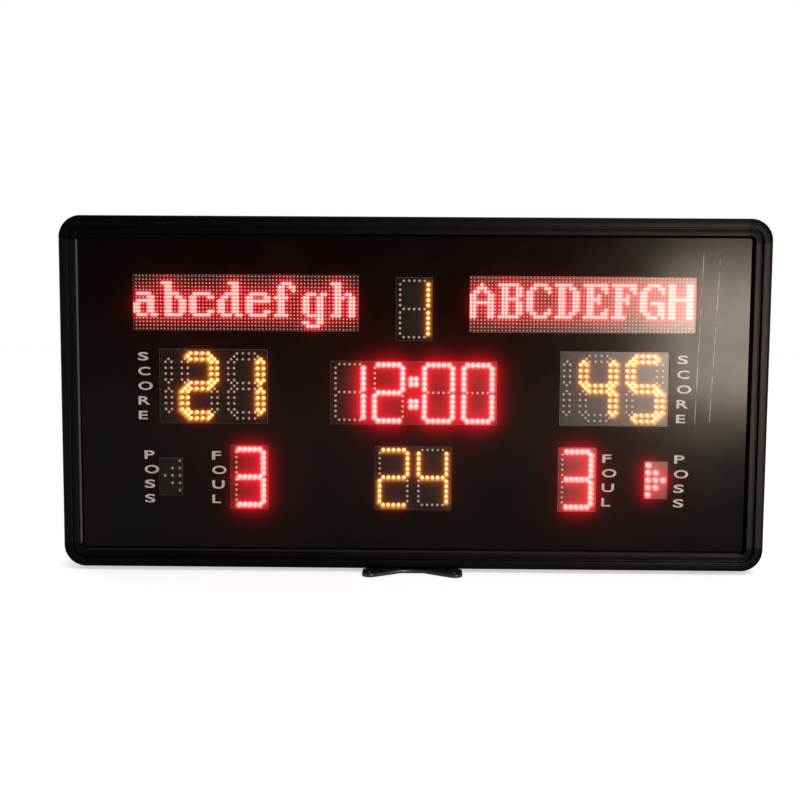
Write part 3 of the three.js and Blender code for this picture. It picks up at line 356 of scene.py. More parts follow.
lampRed = lampMaterial("lit_red_epoxy", ("ff5058", "ffc4be"), 0.5, (0.1, 0.6))
lampAmber = lampMaterial("lit_amber_epoxy", ("f08a30", "ffd8a0"), 1.05, (0.1, 0.6))
# An unlit lamp is given a faint glow of its own and a pale spot on its tip in a dark ring: painted light, a
# painted highlight on the dome, though the lamp is off.
lampUnlitPaintedGlow = lampMaterial("clear_epoxy_painted_glow_and_highlight", ("2a2321", "fbe6de"), 0.12, (0.76, 0.93))


# Smoked polycarbonate. Panes and panel carry the light that the lamps scatter into them, as an attribute.
def smokedPane(name, tint, haze, tone):
    material, tree, place = startMaterial(name)
    dust = addNode(tree, "TexNoise", {"Vector": place, "Scale": perMetre / 7, "Detail": 5.0})
    rough = addNode(tree, "MapRange", {"Value": dust, "To Min": 0.2, "To Max": 0.32})
    film = addNode(tree, "MapRange", {"Value": dust, "To Min": haze * 0.8, "To Max": haze * 1.2})
    across = addNode(tree, "SeparateXYZ", {"Vector": place}).outputs["X"]
    dusty = addNode(tree, "MapRange", {"Value": across, "From Max": 0.4, "To Min": 1.0, "To Max": 3.1})
    veil = addNode(tree, "Math", {0: film, 1: dusty}, operation="MULTIPLY")  # more and more to the right
    body = addNode(tree, "BsdfPrincipled", {
        "Base Color": colour(tone), "Roughness": rough, "Specular IOR Level": 1.0, "IOR": 1.585,
    })
    clear = addNode(tree, "BsdfTransparent", {"Color": colour(tint)})
    sheet = addNode(tree, "MixShader", {"Fac": veil, 1: clear, 2: body})
    glow = addNode(tree, "Attribute", attribute_name="glow")
    light = addNode(tree, "Emission", {"Color": glow, "Strength": 1.0})
    addNode(tree, "OutputMaterial", {"Surface": addNode(tree, "AddShader", {0: sheet, 1: light})})
    material.cycles.emission_sampling = "NONE"
    return material


paneSheet = smokedPane("smoked_polycarbonate", "f2eeec", 0.06, "241b17")
# The window's edge gets a paler, hazier tone than its face: a painted highlight for the thin bright line
# round each window.
paneEdgePaintedHighlight = smokedPane("polycarbonate_edge_painted_highlight", "a89c98", 0.6, "7c726e")  # catches more light than the face


# Black polycarbonate front sheet: semi-gloss, with dust and two long scratches near the right edge.
panelLook = {
    "tones": ("060201", "0b0403"), "dust": "544b46", "rough": (0.14, 0.19), "specular": 0.068,
    "scratch": "b3a595", "scratchWidth": 0.7, "scratchFade": 8, "dustGrain": 1.6,
    "longScratches": [((406, 462), (399, 205)), ((429, 452), (420, 215))],  # x and z of the ends, mm
}


def panelMaterial():
    material, tree, place = startMaterial("black_polycarbonate_panel")
    axes = addNode(tree, "SeparateXYZ", {"Vector": place}).outputs
    grit, width = perMetre / panelLook["dustGrain"], panelLook["scratchWidth"] / perMetre
    patch = addNode(tree, "TexNoise", {"Vector": place, "Scale": perMetre / 90, "Detail": 4.0})
    fine = addNode(tree, "TexNoise", {"Vector": place, "Scale": grit, "Detail": 1.0})
    broken = addNode(tree, "TexNoise", {"Vector": place, "Scale": perMetre / 25, "Detail": 4.0})
    base = addNode(tree, "ValToRGB", {"Fac": patch}, [*zip((0.35, 0.65), panelLook["tones"])])
    rightward = addNode(tree, "MapRange", {
        "Value": axes["X"], "From Min": 0.2, "From Max": 0.45, "To Min": 0.06, "To Max": 0.55,
    })
    upward = addNode(tree, "MapRange", {"Value": axes["Z"], "From Min": 0.12, "From Max": 0.28})
    corner = addNode(tree, "Math", {0: rightward, 1: upward}, operation="MULTIPLY")
    speck = addNode(tree, "MapRange", {"Value": fine, "From Min": 0.66, "From Max": 0.8})
    marks = addNode(tree, "Math", {0: speck, 1: corner}, operation="MULTIPLY")  # dust at the upper right
    pressure = addNode(tree, "MapRange", {"Value": broken, "From Min": 0.35, "From Max": 0.65})
    lines = 0.0
    for (topX, topZ), (lowX, lowZ) in panelLook["longScratches"]:
        lean = (topX - lowX) / (topZ - lowZ)
        shift = (lean * lowZ - lowX) / perMetre
        along = addNode(tree, "Math", {0: axes["Z"], 1: -lean, 2: shift}, operation="MULTIPLY_ADD")
        across = addNode(tree, "Math", {0: axes["X"], 1: along}, operation="ADD")
        away = addNode(tree, "Math", {0: across}, operation="ABSOLUTE")
        line = addNode(tree, "MapRange", {"Value": away, "From Min": width, "From Max": 0.0})
        for end, fade in ((lowZ, panelLook["scratchFade"]), (topZ, -panelLook["scratchFade"])):
            whole = addNode(tree, "MapRange", {
                "Value": axes["Z"], "From Min": end / perMetre, "From Max": (end + fade) / perMetre,
            })
            line = addNode(tree, "Math", {0: line, 1: whole}, operation="MULTIPLY")
        line = addNode(tree, "Math", {0: line, 1: pressure}, operation="MULTIPLY")
        lines = addNode(tree, "Math", {0: lines, 1: line}, operation="MAXIMUM")
    dull = addNode(tree, "MixRGB", {"Fac": marks, "Color1": base, "Color2": colour(panelLook["dust"])})
    scratch = colour(panelLook["scratch"])
    shader = addNode(tree, "BsdfPrincipled", {
        "Base Color": addNode(tree, "MixRGB", {"Fac": lines, "Color1": dull, "Color2": scratch}),
        "Roughness": addNode(tree, "MapRange", {
            "Value": patch, "From Min": 0.3, "From Max": 0.7,
            "To Min": panelLook["rough"][0], "To Max": panelLook["rough"][1],
        }),
        "Normal": addNode(tree, "Bump", {"Height": fine, "Strength": 0.15, "Distance": 0.00004}),
        "Specular IOR Level": panelLook["specular"], "Emission Strength": 1.0,
        "Emission Color": addNode(tree, "Attribute", attribute_name="glow"),
    })
    addNode(tree, "OutputMaterial", {"Surface": shader})
    material.cycles.emission_sampling = "NONE"
    return material


blackPanel = panelMaterial()
print("materials made")

# The frame. Its section: u runs in from the outer face, v runs back from the front.
# One entry is the share at which the lip's inner slope is split; only the part of the slope nearer the ribs
# carries the painted highlight.
section = {
    "depth": 80.0, "face": 27.5, "wall": 2.4, "rounding": 4.2, "crown": 0.2, "outerRib": 8.8,
    "grooveWidth": 3.6, "grooveDepth": 6.0, "innerRib": 7.9, "lipBack": 9.7, "slotDepth": 8.0,
    "ledgeFront": 13.3, "ledgeBack": 15.8, "ledgeShort": 1.5, "flangeReach": 14.0, "flangeFront": 75.8,
    "flangeBack": 78.2, "radius": 31.0, "leg": 2.5, "steps": 8, "edge": 0.16, "paintedLipHighlight": 0.5,
    "lipDepth": 1.2,
}
boardLeft, boardTop = boxOf("corner_top_left")[0].x, boxOf("corner_top_left")[1].z
boardRight, boardBottom = boxOf("corner_bottom_right")[1].x, boxOf("corner_bottom_right")[0].z
frontFace = boxOf("corner_top_left")[0].y
boardMiddle = (boardTop + boardBottom) / 2


def sectionPoints():
    s = section
    points = [(0, s["depth"])]
    for i in range(s["steps"] + 1):
        turn = math.pi / 2 * i / s["steps"]
        rise = s["crown"] + (s["rounding"] - s["crown"]) * (1 - math.sin(turn))
        points.append((s["rounding"] * (1 - math.cos(turn)), rise))
    u = s["rounding"]
    for width in (s["outerRib"], s["innerRib"]):
        for i in range(1, s["steps"] + 1):
            across = 2 * i / s["steps"] - 1
            points.append((u + width * i / s["steps"], s["crown"] * across * across))
        u += width
        if width is s["outerRib"]:
            floor = s["crown"] + s["grooveDepth"]
            points += [(u, floor), (u + s["grooveWidth"], floor), (u + s["grooveWidth"], s["crown"])]
            u += s["grooveWidth"]
    slot, ledge = s["face"] - s["slotDepth"], s["face"] - s["ledgeShort"]
    wall, reach = s["wall"], s["flangeReach"]
    # The first point splits the lip's inner slope; the part in front of it carries the painted highlight.
    points += [
        (u + (s["face"] - u) * s["paintedLipHighlight"], s["crown"] + (s["lipBack"] - s["crown"]) * s["paintedLipHighlight"]),
        (s["face"], s["lipBack"]), (slot, s["lipBack"]), (slot, s["ledgeFront"]), (ledge, s["ledgeFront"]),
        (ledge, s["ledgeBack"]), (wall, s["ledgeBack"]), (wall, s["flangeFront"]), (reach, s["flangeFront"]),
        (reach, s["flangeBack"]), (wall, s["flangeBack"]), (wall, s["depth"]),
    ]
    return points


def startSection(bm, corner, inward):
    back = Vector((0, 1, 0))
    ring = [bm.verts.new(Vector(corner) + Vector(inward) * u + back * v) for u, v in sectionPoints()]
    return bm.faces.new(ring)


def makeRail(name, corner, inward, along, length, materials, holes=()):
    bm = bmesh.new()
    pushFaces(bm, [startSection(bm, corner, inward)], Vector(along) * length)
    faceOut(bm)
    edges = []
    for edge in sharpEdges(bm):
        run = (edge.verts[1].co - edge.verts[0].co).normalized()
        if abs(run.dot(Vector(along))) > 0.99:
            edges.append(edge)
    bevelEdges(bm, edges, section["edge"])
    if holes:
        cutter = bmesh.new()
        for x, radius in holes:
            addBar(cutter, "Z", (x, 0), boardBottom - 2, boardBottom + 5, radius)
        bm = trimmed(bm, cutter, close=False)
    bm.normal_update()
    # Faces on the front part of the lip's inner slope take the last material; on the left and bottom rails
    # this is the painted highlight.
    for face in bm.faces:
        deep = (face.calc_center_median() - Vector(corner)).dot(Vector(inward))
        onLip = deep < section["face"] - section["lipDepth"]
        if face.normal.dot(Vector(inward)) > 0.9 and face.normal.y < -0.2 and onLip:
            face.material_index = len(materials) - 1
    finishNode(name, "extrusion", bm, materials)


railEnd = 33.8  # from the outer face to the end of a rail
longRail = boardRight - boardLeft - 2 * railEnd
shortRail = boardTop - boardBottom - 2 * railEnd
railHoles = [(0, 20.4), (-33, 2.9), (33, 2.9)]  # x and radius, for the pole socket and the bolts
right, up = (1, 0, 0), (0, 0, 1)
startX, startZ = boardLeft + railEnd, boardBottom + railEnd
withLipX, withLipZ = [anodisedAlongX, paintedLipHighlightX], [anodisedAlongZPaintedLighter, paintedLipHighlightZ]
makeRail("frame_rail_top", (startX, frontFace, boardTop), (0, 0, -1), right, longRail, [anodisedAlongX])
makeRail("frame_rail_bottom", (startX, frontFace, boardBottom), up, right, longRail, withLipX, railHoles)
makeRail("frame_rail_left", (boardLeft, frontFace, startZ), right, up, shortRail, withLipZ)
makeRail("frame_rail_right", (boardRight, frontFace, startZ), (-1, 0, 0), up, shortRail, [anodisedAlongZPaintedLighter])


def makeCorner(name, x, z, turn):
    bm = bmesh.new()
    radius, leg = section["radius"], section["leg"]
    first = startSection(bm, (leg, frontFace, radius), (0, 0, -1))
    last = pushFaces(bm, [first], (-leg, 0, 0))
    swept = bmesh.ops.spin(
        bm, geom=last, cent=(0, 0, 0), axis=(0, 1, 0), angle=-quarter, steps=18, use_merge=False,
    )
    bmesh.ops.delete(bm, geom=last, context="FACES_ONLY")
    last = [item for item in swept["geom_last"] if isinstance(item, bmesh.types.BMFace)]
    pushFaces(bm, last, (0, 0, -leg), keep=False)
    closeShell(bm)
    ends = {face for face in bm.faces if len(face.verts) > 20}
    edges = [edge for edge in sharpEdges(bm) if not ends.intersection(edge.link_faces)]
    bevelEdges(bm, edges, section["edge"])
    turnAndMove(bm, bm.verts, turn, "Y", (x, 0, z))
    finishNode(name, "moulding", bm, [mouldedCorner])


near = section["radius"]
makeCorner("corner_top_left", boardLeft + near, boardTop - near, 0)
makeCorner("corner_top_right", boardRight - near, boardTop - near, quarter)
makeCorner("corner_bottom_right", boardRight - near, boardBottom + near, math.pi)
makeCorner("corner_bottom_left", boardLeft + near, boardBottom + near, -quarter)
print("frame made")

# Lamp layouts. Each lamp is x, z from the middle of its window, and whether it is lit.
dotLetters = {  # first row from the top of sixteen, then rows of eight dots
    "a": (5, ".####... ....##.. .#####.. ##..##.. ##..##.. ##..##.. .###.##."),
    "b": (2, "###..... .##..... .##..... .####... .##.##.. .##..##. .##..##. .##..##. .##..##. .#####.."),
    "c": (5, ".#####.. ##...##. ##...... ##...... ##...... ##...##. .#####.."),
    "d": (2, "...###.. ....##.. ....##.. ..####.. .##.##.. ##..##.. ##..##.. ##..##.. ##..##.. .###.##."),
    "e": (5, ".#####.. ##...##. #######. ##...... ##...... ##...##. .#####.."),
    "f": (2, "..###... .##.##.. .##..#.. .##..... ####.... .##..... .##..... .##..... .##..... ####...."),
    "g": (5, ".###.##. ##..##.. ##..##.. ##..##.. ##..##.. ##..##.. .#####.. ....##.. ##..##.. .####..."),
    "h": (2, "###..... .##..... .##..... .##.##.. .###.##. .##..##. .##..##. .##..##. .##..##. ###..##."),
    "A": (2, "...#.... ..###... .##.##.. ##...##. ##...##. #######. ##...##. ##...##. ##...##. ##...##."),
    "B": (2, "######.. .##..##. .##..##. .##..##. .#####.. .##..##. .##..##. .##..##. .##..##. ######.."),
    "C": (2, "..####.. .##..##. ##....#. ##...... ##...... ##...... ##...... ##....#. .##..##. ..####.."),
    "D": (2, "#####... .##.##.. .##..##. .##..##. .##..##. .##..##. .##..##. .##..##. .##.##.. #####..."),
    "E": (2, "#######. .##..##. .##...#. .##.#... .####... .##.#... .##..... .##...#. .##..##. #######."),
    "F": (2, "#######. .##..##. .##...#. .##.#... .####... .##.#... .##..... .##..... .##..... ####...."),
    "G": (2, "..####.. .##..##. ##....#. ##...... ##...... ##.####. ##...##. ##...##. .##..##. ..###.#."),
    "H": (2, "##...##. ##...##. ##...##. ##...##. #######. ##...##. ##...##. ##...##. ##...##. ##...##."),
}
barsOf = {"0": "abcdef", "1": "bc", "2": "abged", "3": "abgcd", "4": "fgbc", "5": "afgcd", " ": ""}
singleRow = {"pitch": 7.4, "side": 20.0, "rise": 40.0, "lamp": 5.0}
doubleRow = {"pitch": 8.47, "side": 21.175, "rise": 42.35, "lamp": 5.0}
# core: how much more the dots of the matrices bloom for their size
dotMatrix = {"pitch": 5.0, "columns": 64, "rows": 16, "lamp": 3.2, "core": 4.6}
arrowRow = {"pitch": 10.7, "lamp": 5.0}
columns = {  # x of each digit's middle
    "half": -65.95, "score": (-21.6, 44.8), "clock": (-91.5, -35.5, 35.5, 91.5), "shot": (-28, 28),
    "one": (0,),
}


def matrixLamps(word):
    lit = set()
    for place, letter in enumerate(word):
        top, rows = dotLetters[letter]
        for down, row in enumerate(rows.split()):
            lit |= {(place * 8 + i, top + down) for i, dot in enumerate(row) if dot == "#"}
    step = dotMatrix["pitch"]
    left, high = (1 - dotMatrix["columns"]) * step / 2, (dotMatrix["rows"] - 1) * step / 2
    return [
        (left + i * step, high - j * step, (i, j) in lit)
        for i in range(dotMatrix["columns"]) for j in range(dotMatrix["rows"])
    ]


def barLamps(style, x, z, upright, lit):
    step = style["pitch"]
    if style is singleRow:
        places = [(i * step, 0) for i in (-2, -1, 0, 1, 2)]
    else:
        places = [(i * step, j * step) for i in (-1.5, -0.5, 0.5, 1.5) for j in (-0.5, 0.5)]
        places += [(-2 * step, 0), (2 * step, 0)]
    return [(x + (b if upright else a), z + (a if upright else b), lit) for a, b in places]


def digitLamps(style, digit, x):
    side, rise = style["side"], style["rise"]
    bars = {
        "a": (0, rise, False), "g": (0, 0, False), "d": (0, -rise, False), "f": (-side, rise / 2, True),
        "e": (-side, -rise / 2, True), "b": (side, rise / 2, True), "c": (side, -rise / 2, True),
    }
    lamps = []
    for bar, (across, up, upright) in bars.items():
        lamps += barLamps(style, x + across, up, upright, bar in barsOf[digit])
    return lamps


def digitRow(style, digits, columns):
    return [lamp for digit, x in zip(digits, columns) for lamp in digitLamps(style, digit, x)]


def scoreLamps(digits):  # a dark half digit and two digits
    halfDigit = []
    for up in (-0.5, 0.5):
        halfDigit += barLamps(doubleRow, columns["half"], up * doubleRow["rise"], True, False)
    return halfDigit + digitRow(doubleRow, digits, columns["score"])


def clockLamps(digits):
    step = singleRow["pitch"] / 2
    colon = [(x, z + rise, True) for rise in (-16, 16) for x in (-step, step) for z in (-step, step)]
    return digitRow(singleRow, digits, columns["clock"]) + colon


def arrowLamps(side, lit):
    step = arrowRow["pitch"]
    dots = [(column - 1, row) for column in range(3) for row in range(column - 2, 3 - column)]
    return [(side * across * step, up * step, lit) for across, up in dots]


# Spill is the share of the glow that reaches the panel beside the window.
def display(lamps, style, lit, spill):
    return {"lamps": lamps, "style": style, "lit": lit, "spill": spill}


displays = {
    "team_matrix_left": display(matrixLamps("abcdefgh"), dotMatrix, "red", 0.12),
    "team_matrix_right": display(matrixLamps("ABCDEFGH"), dotMatrix, "red", 0.12),
    "score_display_left": display(scoreLamps("21"), doubleRow, "amber", 0.5),
    "score_display_right": display(scoreLamps("45"), doubleRow, "amber", 0.5),
    "foul_display_left": display(digitRow(singleRow, "3", columns["one"]), singleRow, "red", 0.36),
    "foul_display_right": display(digitRow(singleRow, "3", columns["one"]), singleRow, "red", 0.36),
    "possession_display_left": display(arrowLamps(-1, False), arrowRow, "red", 0.5),
    "possession_display_right": display(arrowLamps(1, True), arrowRow, "red", 0.5),
    "period_display": display(digitRow(singleRow, "1", columns["one"]), singleRow, "amber", 0.4),
    "clock_display": display(clockLamps("1200"), singleRow, "red", 0.5),
    "shot_clock_display": display(digitRow(singleRow, "24", columns["shot"]), singleRow, "amber", 0.5),
}

# How the lamps' light spreads in the sheet: reach in mm, strength of one lamp at its own place, the colour,
# and how flat its top is (1 is a bell, 2 a disc with a soft edge).
glowLook = {
    "red": [
        (2.7, 1.7, "ffb4ac", 2), (5.0, 0.8, "ff081e", 1), (12.0, 0.17, "f00016", 1),
        (40.0, 0.0034, "d8061a", 1),
    ],
    "amber": [
        (2.45, 1.15, "faa84c", 2), (3.6, 0.36, "dc5c04", 1), (8.0, 0.065, "a02c00", 1),
        (40.0, 0.0009, "a03c18", 1),
    ],
}


def paintGlow(piece, names, front, parts=(0, 1, 2, 3), spill=False):  # only the front face carries it
    mesh = piece.data
    co = np.empty(len(mesh.vertices) * 3, np.float32)
    mesh.vertices.foreach_get("co", co)
    co = co.reshape(-1, 3) * perMetre
    places = co[:, (0, 2)]
    total = np.zeros((len(places), 3))
    for name in names:
        item = displays[name]
        x, z = middleOf(name + "_pane")
        lamps = np.array([(x + a, z + b) for a, b, lit in item["lamps"] if lit])
        if not len(lamps):
            continue
        size = item["style"]["lamp"] / singleRow["lamp"]
        share = item["spill"] if spill else 1.0
        apart = ((places[:, None, :] - lamps[None, :, :]) ** 2).sum(axis=2)
        for i in parts:
            reach, strength, code, flat = glowLook[item["lit"]][i]
            if i == 0:
                reach, strength = reach * size, strength * item["style"].get("core", 1.0)
            bloom = np.exp(-(apart / (2 * reach * reach)) ** flat).sum(axis=1)
            amount = share * strength * size ** 3.5 * bloom  # a small lamp is much weaker than a large one
            total += amount[:, None] * np.array(colour(code)[:3])
    light = np.ones((len(places), 4), np.float32)
    light[:, :3] = (1 - np.exp(-total)) * (co[:, 1:2] < front + 1)
    layer = mesh.attributes.new("glow", "FLOAT_COLOR", "POINT")
    layer.data.foreach_set("color", light.ravel())


def sheetGrid(bm, low, high, step):  # a flat grid in X and Z whose faces look to the front
    size = high - low
    place = Matrix.Translation((low + high) / 2) @ Matrix.Rotation(quarter, 4, "X")
    place = place @ Matrix.Diagonal((size.x / 2, size.z / 2, 1, 1))
    across, up = (max(1, round(length / step)) for length in (size.x, size.z))
    bmesh.ops.create_grid(bm, x_segments=across, y_segments=up, size=1, matrix=place)

# Front panel
panel = {"step": 4.0, "edge": 19.8, "corner": 8.0, "gap": 0.3}


def bisect(bm, place, normal, **more):
    whole = [*bm.verts, *bm.edges, *bm.faces]
    bmesh.ops.bisect_plane(bm, geom=whole, plane_co=place, plane_no=normal, **more)


def frontPanel():
    bm = bmesh.new()
    front, back = (corner.y for corner in boxOf("front_panel"))
    low = Vector((boardLeft + panel["edge"], front, boardBottom + panel["edge"]))
    high = Vector((boardRight - panel["edge"], front, boardTop - panel["edge"]))
    sheetGrid(bm, low, high, panel["step"])
    windows = []
    for name in displays:
        a, b = boxOf(name + "_pane")
        windows.append((a.x - panel["gap"], b.x + panel["gap"], a.z - panel["gap"], b.z + panel["gap"]))
    for left, right, bottom, top in windows:
        for x in (left, right):
            bisect(bm, (x, 0, 0), (1, 0, 0), dist=0.0005)
        for z in (bottom, top):
            bisect(bm, (0, 0, z), (0, 0, 1), dist=0.0005)
    inside = []
    for face in bm.faces:
        c = face.calc_center_median()
        if any(left < c.x < right and bottom < c.z < top for left, right, bottom, top in windows):
            inside.append(face)
    bmesh.ops.delete(bm, geom=inside, context="FACES")
    for x, sideX in ((low.x, -1), (high.x, 1)):
        for z, sideZ in ((low.z, -1), (high.z, 1)):
            bisect(bm, (x - sideX * panel["corner"], 0, z), (sideX, 0, sideZ), clear_outer=True)
    pushFaces(bm, list(bm.faces), (0, back - front, 0))
    faceOut(bm)
    piece = finishNode("front_panel", "sheet", bm, [blackPanel], smooth=None)
    paintGlow(piece, displays, front, parts=(1, 2, 3), spill=True)


frontPanel()
print("panel made")


# Displays
def lampBody(width):  # an epoxy lamp: a short barrel under a dome
    radius, foot, tip = width / 2, lampPlaces["foot"], lampPlaces["tip"]
    rise = foot - tip
    dome = [(radius, tip + rise * 0.5), (radius * 0.72, tip + rise * 0.15), (0, tip)]
    bm = addTurned(bmesh.new(), [(0, foot), (radius, foot), *dome], (0, 0, 0), steps=10)
    faceOut(bm)
    return meshOf("lamp", bm)


def lampRows(name, places, width, material):
    bm = bmesh.new()
    body = lampBody(width)
    for x, z in places:
        body.transform(Matrix.Translation((x, 0, z)))
        bm.from_mesh(body)
        body.transform(Matrix.Translation((-x, 0, -z)))
    finishPiece(name, bm, [material], smooth=60)


module = {"wall": 1.6, "plug": (24, 9), "plugLength": 8}


def modulePiece(name):  # a tray whose floor carries the lamps, with a plug on its back
    low, high = boxOf(name)
    x, z = middleOf(name)
    bm = bmesh.new()
    trayBack = high.y - module["plugLength"]
    addBlock(bm, low, (high.x, trayBack, high.z))
    sinkFace(bm, (0, -1, 0), module["wall"], lampPlaces["foot"] - low.y)
    wide, tall = module["plug"]
    addBlock(bm, (x - wide / 2, trayBack - 0.1, z - tall / 2), (x + wide / 2, high.y, z + tall / 2))
    finishNode(name, "tray", bm, [moduleFace], smooth=None)


pane = {"step": 1.5, "edge": 0.4}


def panePiece(name):
    low, high = boxOf(name + "_pane")
    bm = bmesh.new()
    sheetGrid(bm, low, Vector((high.x, low.y, high.z)), pane["step"])
    back = pushFaces(bm, list(bm.faces), (0, high.y - low.y, 0))
    bmesh.ops.dissolve_faces(bm, faces=back, use_verts=False)
    faceOut(bm)
    bevelEdges(bm, rimAt(bm, low.y), pane["edge"], 1)
    # The bevelled rim and the sides take the edge material with its painted highlight.
    for face in bm.faces:
        face.material_index = 1 if abs(face.normal.y) < 0.9 else 0
    piece = finishPiece(name + "_window", bm, [paneSheet, paneEdgePaintedHighlight], [name + "_pane"], smooth=None)
    paintGlow(piece, [name], low.y)


lampFinish = {"red": lampRed, "amber": lampAmber}
for name, item in displays.items():
    modulePiece(name)
    panePiece(name)
    middleX, middleZ = middleOf(name + "_pane")
    for lit, ending in ((True, "_lit_lamps"), (False, "_unlit_lamps")):
        places = [(middleX + x, middleZ + z) for x, z, on in item["lamps"] if on == lit]
        if places:
            material = lampFinish[item["lit"]] if lit else lampUnlitPaintedGlow
            lampRows(name + ending, places, item["style"]["lamp"], material)
print("displays made")

# Legends: letters one under another. Widths are of each letter, places are the left edge and the top as
# measured from the board's middle.
legend = {"height": 12.1, "step": 21.0, "thickness": 0.15, "weight": 0.02}
letterWidths = {
    "S": 14.8, "C": 17.4, "O": 20.6, "R": 16.8, "E": 12.9, "P": 14.6, "F": 12.9, "U": 17.6, "L": 12.2,
}
legends = {
    "score_legend_left": ("SCORE", -391.7, 58.0), "score_legend_right": ("SCORE", 372.8, 58.0),
    "possession_legend_left": ("POSS", -384.2, -82.9), "possession_legend_right": ("POSS", 371.8, -84.2),
    "foul_legend_left": ("FOUL", -287.4, -83.2), "foul_legend_right": ("FOUL", 269.6, -83.6),
}


def letterMesh(letter):
    curve = bpy.data.curves.new("letter", "FONT")
    curve.body, curve.offset, curve.extrude, curve.resolution_u = letter, legend["weight"], 0.5, 4
    return settledMesh(addObject("letter", curve))


def makeLegend(name, word, left, top):
    bm = bmesh.new()
    front = boxOf("front_panel")[0].y
    for place, letter in enumerate(word):
        mesh = letterMesh(letter)
        co = np.array([v.co for v in mesh.vertices])
        low, size = co.min(0), co.max(0) - co.min(0)
        wide, tall = letterWidths[letter], legend["height"]
        settle = Matrix.Diagonal((wide / size[0], tall / size[1], legend["thickness"] / size[2], 1))
        mesh.transform(settle @ Matrix.Translation(Vector(-low)))
        down = boardMiddle + top - place * legend["step"] - tall
        mesh.transform(Matrix.Translation((left, front, down)) @ Matrix.Rotation(quarter, 4, "X"))
        bm.from_mesh(mesh)
    bmesh.ops.remove_doubles(bm, verts=bm.verts, dist=0.0005)
    finishPiece(name, bm, [legendInk], smooth=None)


for name, (word, left, top) in legends.items():
    makeLegend(name, word, left, top)
print("legends made")

# Back cover: a flat sheet with slots and holes punched through it.
cover = {
    "corner": 28.3, "edge": 0.5, "vents": [(-190, 168), (190, 168), (190, -168)], "slots": 11, "pitch": 9.0,
    "slotWidth": 4.0, "slotHeight": 34.0, "grille": (40, 150), "grilleReach": 32.0, "grilleSlots": 7,
    "inlet": (28.6, 47.6), "inletCorner": 1.0, "screwHole": 1.9,
    "holes": {"data_socket": 7.7, "antenna_socket": 3.4, "clamp_knob": 4.3},
}
coverScrews = [f"cover_screw_{i}" for i in range(1, 9)]
coverBack = boxOf("rear_cover")[1].y
seat = coverBack + 0.3  # fittings stand off the sheet by the thickness of their gaskets
fullRound = 0.49  # share of a slot's width that rounds its ends


def spread(count):  # the steps of a row, counted from its middle
    return [(i - (count - 1) / 2) * cover["pitch"] for i in range(count)]


def makeCover():
    low, high = boxOf("rear_cover")
    width, height = high.x - low.x, high.z - low.z
    middleX = middleOf("rear_cover")[0]
    bm = addSlab(bmesh.new(), middleX, boardMiddle, width, height, low.y, high.y, cover["corner"], 12)
    bevelEdges(bm, rimAt(bm, high.y), cover["edge"])
    cutter = bmesh.new()
    under, over = low.y - 1, high.y + 1
    wide, tall = cover["slotWidth"], cover["slotHeight"]
    for x, z in cover["vents"]:
        for shift in spread(cover["slots"]):
            addSlab(cutter, x + shift, boardMiddle + z, wide, tall, under, over, wide * fullRound)
    x, z = cover["grille"]
    for shift in spread(cover["grilleSlots"]):
        reach = math.sqrt(cover["grilleReach"] ** 2 - shift * shift)
        addSlab(cutter, x, boardMiddle + z + shift, 2 * reach, wide, under, over, wide * fullRound)
    addSlab(cutter, *middleOf("power_inlet"), *cover["inlet"], under, over, cover["inletCorner"])
    for name, radius in cover["holes"].items():
        addBar(cutter, "Y", middleOf(name), under, over, radius)
    for name in coverScrews:
        addBar(cutter, "Y", middleOf(name), under, over, cover["screwHole"], 16)
    finishNode("rear_cover", "sheet", trimmed(bm, cutter), [powderCoat])


makeCover()

# A pan head screw with a cross recess, drawn once at its real size. Its head stands on y 0.
screw = {
    "head": [(0, -7.0), (1.9, -7.0), (1.9, 0), (3.8, 0), (3.8, 0.7), (3.45, 1.5), (2.5, 2.0), (0, 2.2)],
    "recess": (0.95, 4.3), "recessFloor": 1.1,
}


def screwMesh():
    bm = addTurned(bmesh.new(), screw["head"], (0, 0, 0), steps=28)
    wide, long = screw["recess"]
    points = [(-long, -wide), (-wide, -wide), (-wide, -long), (wide, -long), (wide, -wide), (long, -wide),
              (long, wide), (wide, wide), (wide, long), (-wide, long), (-wide, wide), (-long, wide)]
    cutter = addOutline(bmesh.new(), [(x / 2, screw["recessFloor"], z / 2) for x, z in points], (0, 3, 0))
    return meshOf("screw", trimmed(bm, cutter))


panHead = screwMesh()


def makeScrews(name, places, size=1.0, replaced=()):
    bm = bmesh.new()
    for i, place in enumerate(places):
        one = panHead.copy()
        turn = Matrix.Rotation(0.5 + 1.3 * i, 4, "Y")  # each recess stands as the driver left it
        one.transform(Matrix.Translation(place) @ turn @ Matrix.Scale(size, 4))
        bm.from_mesh(one)
        bpy.data.meshes.remove(one)
    finishPiece(name, bm, [zincPlate], replaced)


for name in coverScrews:
    x, z = middleOf(name)
    makeScrews(name + "_pan_head", [(x, seat, z)], replaced=[name])

# Keyhole hangers, folded from strip. Their feet are screwed to the back cover.
hanger = {
    "thick": 2.5, "top": 17.0, "foot": 30.0, "eye": 7.0, "eyeDrop": 5.0, "slot": 3.2, "slotTop": 13.2,
    "edge": 0.35, "screw": (23.5, 21.0), "screwSize": 0.72,
}


